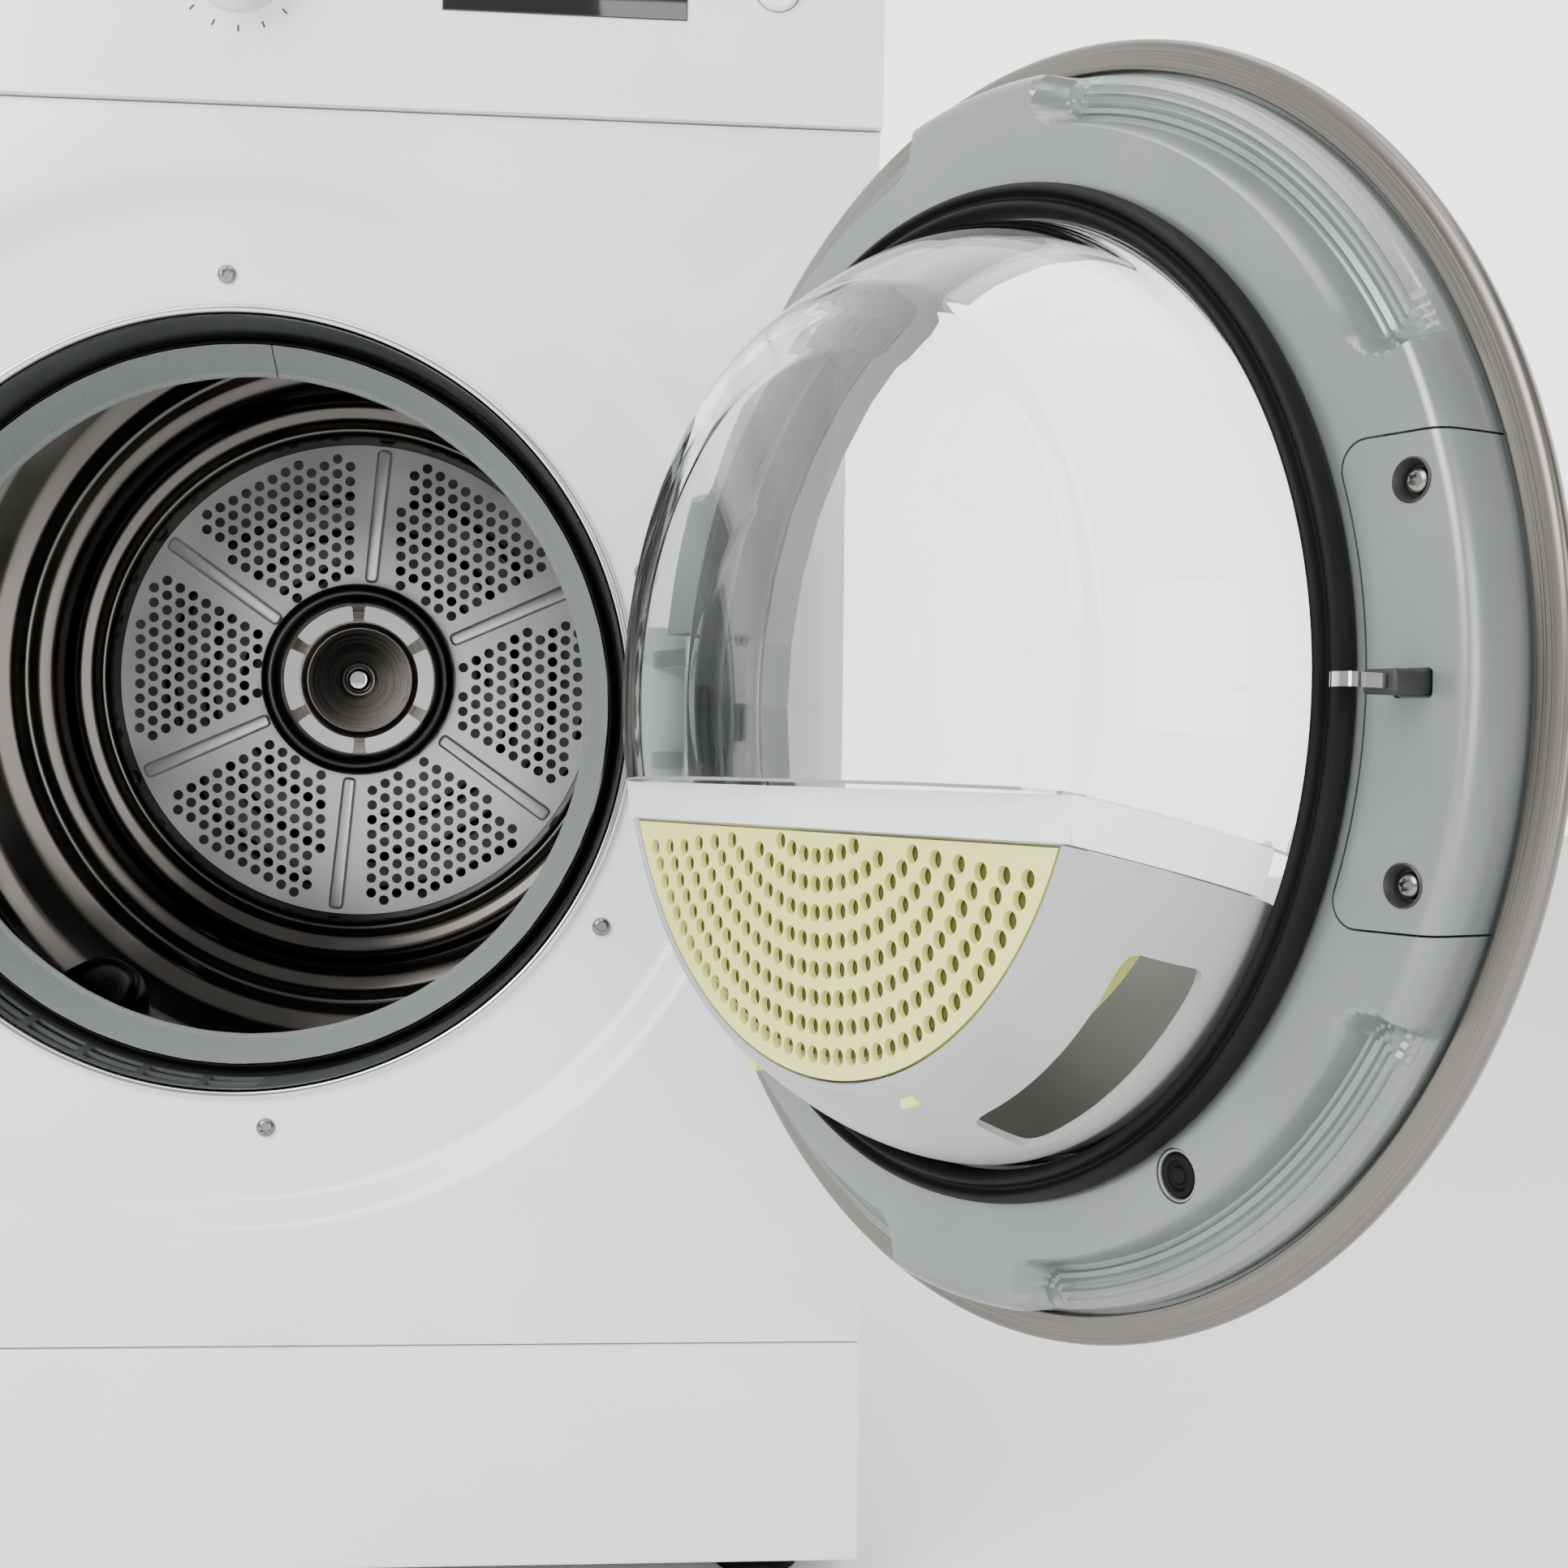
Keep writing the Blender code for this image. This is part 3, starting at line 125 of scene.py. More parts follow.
@dataclass(frozen=True)
class Finish:
    """One real material: its name, its colours and how its surface was made."""

    name: str
    shade: str
    roughness: float
    metallic: float = 0.0
    pattern: Pattern = Pattern.MOULDED
    grain_mm: float = 0.6
    relief_mm: float = 0.02
    second: str = ""
    coat: float = 0.0
    transmission: float = 0.0
    ior: float = 1.5
    spread: float = 0.06
    sheen: float = 0.0

    def material(self) -> bpy.types.Material:
        """Builds the material once and hands the same one out after that."""
        if self.name in bpy.data.materials:
            return bpy.data.materials[self.name]
        material = bpy.data.materials.new(self.name)
        material.use_nodes = True
        tree = material.node_tree
        shader = tree.nodes["Principled BSDF"]
        values = {
            "Base Color": linear(self.shade), "Roughness": self.roughness, "Metallic": self.metallic,
            "Coat Weight": self.coat, "Coat Roughness": 0.08, "Transmission Weight": self.transmission,
            "IOR": self.ior, "Sheen Weight": self.sheen,
        }
        for name, value in values.items():
            shader.inputs[name].default_value = value
        if self.pattern is not Pattern.CLEAR:
            self.add_grain(tree, shader)
        return material

    def add_grain(self, tree: bpy.types.NodeTree, shader: bpy.types.Node) -> None:
        """Adds the pattern's colour, gloss and relief to the shader.

        Args:
            tree: The material's tree.
            shader: Its Principled shader.
        """
        coords = add_node(tree, "ShaderNodeTexCoord")
        per_metre = 1 / (self.grain_mm * MM)
        if self.pattern is Pattern.BRUSHED:
            source, scale = coords.outputs["UV"], (6.0, per_metre, 1.0)
        else:
            source, scale = coords.outputs["Object"], (per_metre,) * 3
        grain_map = add_node(tree, "ShaderNodeMapping", Vector=source, Scale=scale)
        detail = 6.0 if self.pattern is Pattern.FELTED else 3.0
        grain = add_node(
            tree, "ShaderNodeTexNoise", Vector=grain_map.outputs["Vector"], Scale=1.0, Detail=detail,
        )
        cloud_map = add_node(tree, "ShaderNodeMapping", Vector=coords.outputs["Object"], Scale=(14.0,) * 3)
        cloud = add_node(
            tree, "ShaderNodeTexNoise", Vector=cloud_map.outputs["Vector"], Scale=1.0, Detail=2.0,
        )
        fine = self.pattern in (Pattern.BRUSHED, Pattern.FELTED)
        driver = grain if fine else cloud
        low, high = self.roughness - self.spread, self.roughness + self.spread
        gloss = add_node(
            tree, "ShaderNodeMapRange", Value=driver.outputs["Fac"], From_Min=0.3, From_Max=0.7,
            To_Min=max(0.02, low), To_Max=high,
        )
        tree.links.new(gloss.outputs["Result"], shader.inputs["Roughness"])
        if self.second:
            ramp = add_node(tree, "ShaderNodeValToRGB", Fac=driver.outputs["Fac"])
            ramp.color_ramp.elements[0].position = 0.35
            ramp.color_ramp.elements[0].color = linear(self.second)
            ramp.color_ramp.elements[1].position = 0.65
            ramp.color_ramp.elements[1].color = linear(self.shade)
            tree.links.new(ramp.outputs["Color"], shader.inputs["Base Color"])
        bump = add_node(
            tree, "ShaderNodeBump", Height=grain.outputs["Fac"], Strength=1.0, Distance=self.relief_mm * MM,
        )
        tree.links.new(bump.outputs["Normal"], shader.inputs["Normal"])


# Sprayed gloss enamel on deep-drawn steel: almost flat, with slow waves in its highlights.
ENAMEL = Finish("white enamel", "#ECEDEE", 0.22, pattern=Pattern.ORANGE_PEEL, grain_mm=9, relief_mm=0.02,
                second="#E7E8E9", coat=0.35)
# White laminate on chipboard: a low satin.
LAMINATE = Finish("white laminate", "#E9EAEA", 0.38, grain_mm=1.2, relief_mm=0.03, second="#E4E5E5")
# Zinc coated sheet: a cloudy spangle.
ZINC = Finish("galvanised steel", "#A9ACAD", 0.4, 1.0, Pattern.ROLLED, 18, 0.02, "#94989A")
# Polished stainless steel, drawn into a drum: its colour is painted dark and warm, a painted shade for the
# dim inside of the drum that it mirrors.
SHADED_DRUM_STEEL = Finish("polished stainless steel, painted shade", "#55524E", 0.2, 1.0, Pattern.ROLLED, 3, 0.006, "#494643")
# Stainless sheet with a bead-blasted satin, painted near white: a painted highlight for the bright room that
# it reflects.
HIGHLIT_PRESSED_STEEL = Finish("satin stainless steel, painted highlight", "#F6F5F3", 0.34, 0.7, Pattern.ROLLED, 2, 0.01, "#ECEAE7")
# Stainless steel brushed round the door: fine lines that stretch its highlights.
BRUSHED_STEEL = Finish("brushed stainless steel", "#7E7A73", 0.32, 1.0, Pattern.BRUSHED, 0.5, 0.012,
                       "#6C6862",
                       spread=0.08)
# Turned steel: lathe rings on the hub.
TURNED_STEEL = Finish("turned steel", "#8F8A84", 0.3, 1.0, Pattern.BRUSHED, 0.8, 0.02, "#5F5B57")
DARK_STEEL = Finish("blued steel", "#4A4845", 0.3, 1.0, Pattern.ROLLED, 4, 0.01, "#3C3A38")
SCREW_STEEL = Finish("zinc plated screw steel", "#8E8C88", 0.26, 1.0, Pattern.ROLLED, 3, 0.01, "#7A7875")
CHROME = Finish("chromium plate", "#DADBDC", 0.07, 1.0, Pattern.ROLLED, 20, 0.004, spread=0.03)
# Vulcanised rubber: near black, with a dull bloom.
RUBBER = Finish("black rubber", "#0B0C0B", 0.55, grain_mm=0.8, relief_mm=0.03, second="#111211", ior=1.22)
# Pressed wool felt: grey green, with matted fibres.
FELT = Finish("pressed wool felt", "#757C79", 0.95, pattern=Pattern.FELTED, grain_mm=0.7, relief_mm=0.25,
              second="#626966", sheen=0.15)
# Glass-filled polypropylene, spark-textured in its mould.
CHARCOAL = Finish("charcoal polypropylene", "#3C4040", 0.42, grain_mm=0.7, relief_mm=0.03, second="#343838")
SOOT = Finish("black polypropylene", "#1B1C1C", 0.5, grain_mm=0.7, relief_mm=0.03, second="#232424")
# Silver pigmented ABS with a satin lacquer.
SILVER = Finish("silver ABS", "#858A88", 0.3, 0.5, grain_mm=0.5, relief_mm=0.012, second="#7D8280")
# Dark grey for the wall that runs in from the front of the mouth's chromed ring: painted shade.
SHADED_RING_GREY = Finish("satin grey, painted shade", "#666A69", 0.3, 0.45, grain_mm=0.5, relief_mm=0.012, second="#5E6261")
HOUSING = Finish("light grey ABS", "#A6A7A5", 0.34, grain_mm=0.5, relief_mm=0.012, second="#9D9E9C")
PEARL = Finish("white ABS", "#EFF0F2", 0.16, grain_mm=0.6, relief_mm=0.008, second="#EBECEF", coat=0.3)
# Unpainted pale yellow polypropylene: slightly waxy.
YELLOW = Finish("pale yellow polypropylene", "#E4E488", 0.36, grain_mm=0.6, relief_mm=0.01,
                second="#DEDE7E")
GAUZE = Finish("olive polyester gauze", "#5E5D20", 0.8, pattern=Pattern.FELTED, grain_mm=0.5, relief_mm=0.1,
               second="#3E3D16")
GLASS = Finish("pressed glass", "#FBFDFC", 0.015, pattern=Pattern.CLEAR, transmission=1.0, ior=1.46)
BOARD = Finish("green circuit board", "#1C5A2E", 0.4, grain_mm=1.5, relief_mm=0.03, second="#18502A")
SMOKED = Finish("smoked acrylic", "#0D0E10", 0.06, grain_mm=2, relief_mm=0.002, coat=0.5)


# ---------------------------------------------------------------- shapes
def mm(*values: float) -> tuple[float, ...]:
    """Turns millimetres into metres."""
    return tuple(value * MM for value in values)


def rounded(outline: Sequence[Point], radius: float, closed: bool = True, steps: int = 4) -> list[Point]:
    """Rounds every corner of an outline that isn't on the axis.

    Args:
        outline: Corners in order.
        radius: How far each rounding reaches along its two sides.
        closed: Whether the last corner joins the first.
        steps: Points along each rounding.

    Returns:
        The rounded outline.
    """
    points = [Vector(p) for p in outline]
    count = len(points)
    result: list[Point] = []
    for i, corner in enumerate(points):
        if not closed and i in (0, count - 1) or corner.x == 0:
            result.append(tuple(corner))
            continue
        before, after = points[i - 1] - corner, points[(i + 1) % count] - corner
        reach_in, reach_out = (min(radius, 0.45 * side.length) for side in (before, after))
        start, end = corner + before.normalized() * reach_in, corner + after.normalized() * reach_out
        for step in range(steps):
            t = step / (steps - 1)
            spot = start * (1 - t) ** 2 + corner * 2 * t * (1 - t) + end * t**2
            result.append(tuple(spot))
    return result


def arc(radius: float, start: float, end: float, count: int, centre: Point = (0.0, 0.0)) -> list[Point]:
    """Points along an arc, with its angles in degrees.

    Args:
        radius: Radius in metres.
        start: First angle.
        end: Last angle.
        count: Number of points.
        centre: Centre of the arc.

    Returns:
        The points in order.
    """
    turns = [math.radians(start + (end - start) * i / (count - 1)) for i in range(count)]
    return [(centre[0] + radius * math.cos(a), centre[1] + radius * math.sin(a)) for a in turns]


def link(name: str, mesh: bpy.types.Mesh) -> bpy.types.Object:
    """Links a mesh to the scene as an object of that name."""
    piece = bpy.data.objects.new(name, mesh)
    bpy.context.scene.collection.objects.link(piece)
    return piece


def to_mesh(name: str, bm: bmesh.types.BMesh) -> bpy.types.Mesh:
    """Writes a bmesh to a mesh with its faces turned outwards, and frees it."""
    bmesh.ops.recalc_face_normals(bm, faces=bm.faces)
    mesh = bpy.data.meshes.new(name)
    bm.to_mesh(mesh)
    bm.free()
    return mesh


def turned(
    name: str, outline: Sequence[Point], steps: int = 160, closed: bool = True,
    wave: Callable[[float, float], float] | None = None,
) -> bpy.types.Object:
    """Turns an outline about the z axis, with a UV map in metres along and across the turning.

    Args:
        name: Name of the piece.
        outline: Radius and height of each corner.
        steps: Facets round the axis.
        closed: Whether the outline is a loop.
        wave: Adds to a corner's radius from its height and its angle in radians.

    Returns:
        The piece, in its own place.
    """
    bm = bmesh.new()
    uv = bm.loops.layers.uv.new("UVMap")
    rows = []
    for radius, height in outline:
        if radius <= 1e-7:
            rows.append([bm.verts.new((0, 0, height))] * steps)
            continue
        row = []
        for i in range(steps):
            angle = 2 * math.pi * i / steps
            reach = radius + (wave(height, angle) if wave else 0.0)
            row.append(bm.verts.new((reach * math.cos(angle), reach * math.sin(angle), height)))
        rows.append(row)
    along = [0.0]
    for a, b in zip(outline, list(outline[1:]) + [outline[0]]):
        along.append(along[-1] + math.dist(a, b))
    last = len(rows) if closed else len(rows) - 1
    for k in range(last):
        first, second = rows[k], rows[(k + 1) % len(rows)]
        girth = 2 * math.pi * max(outline[k][0], outline[(k + 1) % len(rows)][0])
        for i in range(steps):
            j = (i + 1) % steps
            corners = [
                (first[i], i, k), (second[i], i, k + 1), (second[j], i + 1, k + 1), (first[j], i + 1, k),
            ]
            kept = [c for n, c in enumerate(corners) if c[0] is not corners[n - 1][0]]
            if len(kept) < 3:
                continue
            face = bm.faces.new([c[0] for c in kept])
            for loop, corner in zip(face.loops, kept):
                loop[uv].uv = (girth * corner[1] / steps, along[corner[2]])
    return link(name, to_mesh(name, bm))


def lathe(
    name: str, corners: Sequence[Point], soft: float, steps: int, bends: int = 4,
    wave: Callable[[float, float], float] | None = None,
) -> bpy.types.Object:
    """Turns a profile given in millimetres, with its corners rounded.

    Args:
        name: Name of the piece.
        corners: Radius and height of each corner.
        soft: How far each rounding reaches.
        steps: Facets round the axis.
        bends: Points along each rounding.
        wave: Adds to a corner's radius, in metres.

    Returns:
        The piece, in its own place.
    """
    outline = rounded([mm(r, z) for r, z in corners], soft * MM, True, bends)
    return turned(name, outline, steps, wave=wave)


def prism(name: str, outline: Sequence[Point], low: float, high: float) -> bpy.types.Object:
    """Stands a flat outline up between two heights.

    Args:
        name: Name of the piece.
        outline: Corners in order.
        low: Lower height.
        high: Upper height.

    Returns:
        The piece, in its own place.
    """
    bm = bmesh.new()
    base = [bm.verts.new((x, y, low)) for x, y in outline]
    top = [bm.verts.new((x, y, high)) for x, y in outline]
    bm.faces.new(base[::-1])
    bm.faces.new(top)
    for i in range(len(outline)):
        j = (i + 1) % len(outline)
        bm.faces.new((base[i], base[j], top[j], top[i]))
    return link(name, to_mesh(name, bm))


def block(name: str, low: Sequence[float], high: Sequence[float], bevel: float = 0.001) -> bpy.types.Object:
    """A box between two corners with rounded edges.

    Args:
        name: Name of the piece.
        low: Lowest corner.
        high: Highest corner.
        bevel: Width of the rounding.

    Returns:
        The piece, in its own place.
    """
    bm = bmesh.new()
    middle = (Vector(low) + Vector(high)) / 2
    size = Vector(high) - Vector(low)
    bmesh.ops.create_cube(bm, size=1, matrix=Matrix.Translation(middle) @ Matrix.Diagonal((*size, 1)))
    piece = link(name, to_mesh(name, bm))
    rounding = piece.modifiers.new("round", "BEVEL")
    rounding.width = bevel
    rounding.segments = 3
    return baked(piece)


def baked(piece: bpy.types.Object) -> bpy.types.Object:
    """Turns a piece's modifiers into plain mesh and removes them."""
    bpy.context.view_layer.update()
    evaluated = piece.evaluated_get(bpy.context.evaluated_depsgraph_get())
    mesh = bpy.data.meshes.new_from_object(evaluated)
    piece.modifiers.clear()
    piece.data = mesh
    return piece


def combine(piece: bpy.types.Object, tool: bpy.types.Object, operation: str) -> bpy.types.Object:
    """Cuts, joins or trims a piece with another, which is used up.

    Args:
        piece: The piece that is changed.
        tool: The other solid.
        operation: DIFFERENCE, UNION or INTERSECT.

    Returns:
        The changed piece.
    """
    boolean = piece.modifiers.new("shape", "BOOLEAN")
    boolean.operation = operation
    boolean.object = tool
    baked(piece)
    bpy.data.objects.remove(tool, do_unlink=True)
    return piece


def drill(piece: bpy.types.Object, spot: Point, radius: float) -> None:
    """Bores a round hole through a sheet that lies near z = 0."""
    low, high = -5 * MM, 20 * MM
    bit = turned("bit", [(0, high), (radius, high), (radius, low), (0, low)], 48)
    bit.data.transform(Matrix.Translation((*spot, 0)))
    combine(piece, bit, "DIFFERENCE")


def sliced(piece: bpy.types.Object, point: Sequence[float], normal: Sequence[float]) -> bpy.types.Object:
    """Cuts away what lies on a plane's normal side and closes the cut."""
    bm = bmesh.new()
    bm.from_mesh(piece.data)
    everything = bm.verts[:] + bm.edges[:] + bm.faces[:]
    made = bmesh.ops.bisect_plane(bm, geom=everything, plane_co=point, plane_no=normal, clear_outer=True)
    edges = [e for e in made["geom_cut"] if isinstance(e, bmesh.types.BMEdge)]
    bmesh.ops.holes_fill(bm, edges=edges, sides=0)
    piece.data = to_mesh(piece.name, bm)
    return piece


def settle(
    piece: bpy.types.Object, place: Matrix, finish: Finish | Sequence[Finish], body: str,
    stands_for: Sequence[str] = (), sharp: float = 32.0,
) -> bpy.types.Object:
    """Puts a finished piece in its place, dresses it and makes it ride on a body.

    Args:
        piece: The piece, in its sub-assembly's own place.
        place: The sub-assembly's place on the machine.
        finish: Its finish, or one for each material slot.
        body: The body that it moves with.
        stands_for: Solids of the frame that it takes the place of.
        sharp: Edges over this angle in degrees stay sharp.

    Returns:
        The piece.
    """
    piece.data.transform(place)
    finishes = [finish] if isinstance(finish, Finish) else list(finish)
    zones = [face.material_index for face in piece.data.polygons]
    piece.data.materials.clear()
    for each in finishes:
        piece.data.materials.append(each.material())
    if len(finishes) > 1:
        piece.data.polygons.foreach_set("material_index", zones)
    piece.data.shade_smooth()
    piece.data.set_sharp_from_angle(angle=math.radians(sharp))
    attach(piece, body)
    if stands_for:
        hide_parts(*stands_for)
    LOG.info("%s: %d faces, on %s", piece.name, len(piece.data.polygons), body)
    return piece


# ---------------------------------------------------------------- repeated pieces
def new_tree(name: str, **inputs: str) -> tuple[bpy.types.NodeTree, bpy.types.NodeOutputs]:
    """Starts a Geometry Nodes tree.

    Args:
        name: Its name.
        **inputs: Names of its inputs, with _ for a space, and the kind of each.

    Returns:
        The tree and the sockets that hand its inputs on.
    """
    tree = bpy.data.node_groups.new(name, "GeometryNodeTree")
    for label, kind in inputs.items():
        tree.interface.new_socket(label.replace("_", " "), in_out="INPUT", socket_type=f"NodeSocket{kind}")
    tree.interface.new_socket("Geometry", in_out="OUTPUT", socket_type="NodeSocketGeometry")
    return tree, add_node(tree, "NodeGroupInput").outputs


def dressed(tree: bpy.types.NodeTree, made: bpy.types.NodeSocket, finish: Finish) -> bpy.types.NodeTree:
    """Ends a tree: what it made becomes real mesh with its finish."""
    real = add_node(tree, "GeometryNodeRealizeInstances", Geometry=made)
    coat = add_node(
        tree, "GeometryNodeSetMaterial", Geometry=real.outputs["Geometry"], Material=finish.material(),
    )
    add_node(tree, "NodeGroupOutput", Geometry=coat.outputs["Geometry"])
    return tree


def run_tree(piece: bpy.types.Object, tree: bpy.types.NodeTree, values: dict) -> bpy.types.Object:
    """Runs a tree on a piece with named inputs, and keeps the plain mesh."""
    nodes = piece.modifiers.new("nodes", "NODES")
    nodes.node_group = tree
    for socket in tree.interface.items_tree:
        if socket.in_out == "INPUT" and socket.name in values:
            nodes[socket.identifier] = values[socket.name]
    return baked(piece)


@dataclass(frozen=True)
class Repeater:
    """A Geometry Nodes tree that puts copies of one shape on points."""

    name: str

    def tree(self, finish: Finish) -> bpy.types.NodeTree:
        """Builds the tree: a copy of an object on every vertex, made real and given its finish."""
        tree, given = new_tree(self.name, Points="Geometry", Shape="Object", Size="Float")
        shape = add_node(tree, "GeometryNodeObjectInfo", Object=given["Shape"])
        turn = add_node(tree, "GeometryNodeInputNamedAttribute", {"data_type": "FLOAT"}, Name="turn")
        spin = add_node(tree, "ShaderNodeCombineXYZ", Z=turn.outputs["Attribute"])
        copies = add_node(
            tree, "GeometryNodeInstanceOnPoints", Points=given["Points"], Instance=shape.outputs["Geometry"],
            Rotation=spin.outputs["Vector"], Scale=given["Size"],
        )
        return dressed(tree, copies.outputs["Instances"], finish)

    def run(
        self, shape: bpy.types.Object, spots: Sequence[Sequence[float]], finish: Finish,
        turns: Sequence[float] | None = None, size: float = 1.0,
    ) -> bpy.types.Object:
        """Makes one mesh of all the copies, and uses the shape up.

        Args:
            shape: The shape that is repeated.
            spots: Where each copy goes.
            finish: The copies' finish.
            turns: Each copy's angle about z, in radians.
            size: Scale of the copies.

        Returns:
            The copies as one plain mesh.
        """
        mesh = bpy.data.meshes.new(self.name)
        mesh.from_pydata([tuple(s) for s in spots], [], [])
        angles = mesh.attributes.new("turn", "FLOAT", "POINT")
        angles.data.foreach_set("value", list(turns) if turns else [0.0] * len(spots))
        piece = run_tree(link(self.name, mesh), self.tree(finish), {"Shape": shape, "Size": size})
        bpy.data.objects.remove(shape, do_unlink=True)
        return piece


@dataclass(frozen=True)
class Punch:
    """A Geometry Nodes tree that fills an outline and punches round holes in the sheet."""

    name: str
    hole: float
    thickness: float
    sides: int = 14

    def tree(self, finish: Finish) -> bpy.types.NodeTree:
        """Builds the tree: circles on the marked points, filled inside the outline and given a thickness."""
        tree, given = new_tree(self.name, Layout="Geometry", Hole_Radius="Float", Thickness="Float")
        marked = add_node(tree, "GeometryNodeInputNamedAttribute", {"data_type": "BOOLEAN"}, Name="hole")
        circle = add_node(
            tree, "GeometryNodeCurvePrimitiveCircle", Resolution=self.sides, Radius=given["Hole Radius"],
        )
        copies = add_node(
            tree, "GeometryNodeInstanceOnPoints", Points=given["Layout"],
            Selection=marked.outputs["Attribute"], Instance=circle.outputs["Curve"],
        )
        holes = add_node(tree, "GeometryNodeRealizeInstances", Geometry=copies.outputs["Instances"])
        edge = add_node(tree, "GeometryNodeMeshToCurve", Mesh=given["Layout"])
        both = add_node(tree, "GeometryNodeJoinGeometry")
        tree.links.new(holes.outputs["Geometry"], both.inputs["Geometry"])
        tree.links.new(edge.outputs["Curve"], both.inputs["Geometry"])
        sheet = add_node(tree, "GeometryNodeFillCurve", Curve=both.outputs["Geometry"])
        raised = add_node(
            tree, "GeometryNodeExtrudeMesh", Mesh=sheet.outputs["Mesh"], Offset_Scale=given["Thickness"],
            Individual=False,
        )
        under = add_node(tree, "GeometryNodeFlipFaces", Mesh=sheet.outputs["Mesh"])
        plate = add_node(tree, "GeometryNodeJoinGeometry")
        tree.links.new(raised.outputs["Mesh"], plate.inputs["Geometry"])
        tree.links.new(under.outputs["Mesh"], plate.inputs["Geometry"])
        welded = add_node(
            tree, "GeometryNodeMergeByDistance", Geometry=plate.outputs["Geometry"], Distance=0.01 * MM,
        )
        return dressed(tree, welded.outputs["Geometry"], finish)

    def run(
        self, loops: Sequence[Sequence[Point]], holes: Sequence[Point], finish: Finish,
    ) -> bpy.types.Object:
        """Makes the punched sheet, standing on z = 0.

        Args:
            loops: Closed outlines of the sheet.
            holes: Centres of the holes.
            finish: The sheet's finish.

        Returns:
            The sheet as a plain mesh.
        """
        verts: list[tuple[float, float, float]] = []
        edges: list[tuple[int, int]] = []
        for loop in loops:
            start = len(verts)
            verts += [(x, y, 0.0) for x, y in loop]
            edges += [(start + i, start + (i + 1) % len(loop)) for i in range(len(loop))]
        rim = len(verts)
        verts += [(x, y, 0.0) for x, y in holes]
        mesh = bpy.data.meshes.new(self.name)
        mesh.from_pydata(verts, edges, [])
        marks = mesh.attributes.new("hole", "BOOLEAN", "POINT")
        marks.data.foreach_set("value", [i >= rim for i in range(len(verts))])
        sizes = {"Hole Radius": self.hole, "Thickness": self.thickness}
        return run_tree(link(self.name, mesh), self.tree(finish), sizes)


@dataclass
class StarScrew:
    """A pan-head screw with a six-lobed socket, its head standing on z = 0."""

    radius: float = 4.0 * MM
    height: float = 2.4 * MM
    lobes: int = 6

    def build(self) -> bpy.types.Object:
        """Turns the head and sinks the socket in it."""
        r, h = self.radius, self.height
        head = [(0.0, h), (0.62 * r, h), (0.92 * r, 0.62 * h), (r, 0.0), (0.0, 0.0)]
        piece = turned("screw_head", rounded(head, 0.35 * MM), 32)
        star = []
        for i in range(self.lobes * 6):
            angle = 2 * math.pi * i / (self.lobes * 6)
            reach = r * (0.5 + 0.09 * math.cos(self.lobes * angle))
            star.append((reach * math.cos(angle), reach * math.sin(angle)))
        return combine(piece, prism("socket", star, 0.25 * h, 1.5 * h), "DIFFERENCE")


# ---------------------------------------------------------------- where things are
def joint(name: str) -> dict:
    """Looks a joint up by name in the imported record."""
    return next(j for j in frame["joints"] if j["name"] == name)


def places() -> dict[str, Matrix]:
    """Works out the places of the mouth, the drum and the open door from the frame.

    Returns:
        A matrix for each: x to the right, y up and z out of the machine, or out of the door's outer face.
    """
    ring_low, ring_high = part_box("opening_ring")
    lip = 3.8 * MM
    panel_y = ring_low.y + lip
    facing = Matrix.Rotation(math.pi / 2, 4, "X")
    middle = (ring_low + ring_high) / 2
    mouth = Matrix.Translation((0, panel_y, middle.z)) @ facing
    drum = Matrix.Translation((0, panel_y, joint("drum_spin")["pos_m"][2])) @ facing
    hinge = joint("door_hinge")
    pin = Matrix.Translation(hinge["pos_m"])
    swing = Matrix.Rotation(-math.radians(hinge["range_deg"][0]), 4, "Z")
    return {"mouth": mouth, "drum": drum, "door": pin @ swing @ pin.inverted() @ mouth}


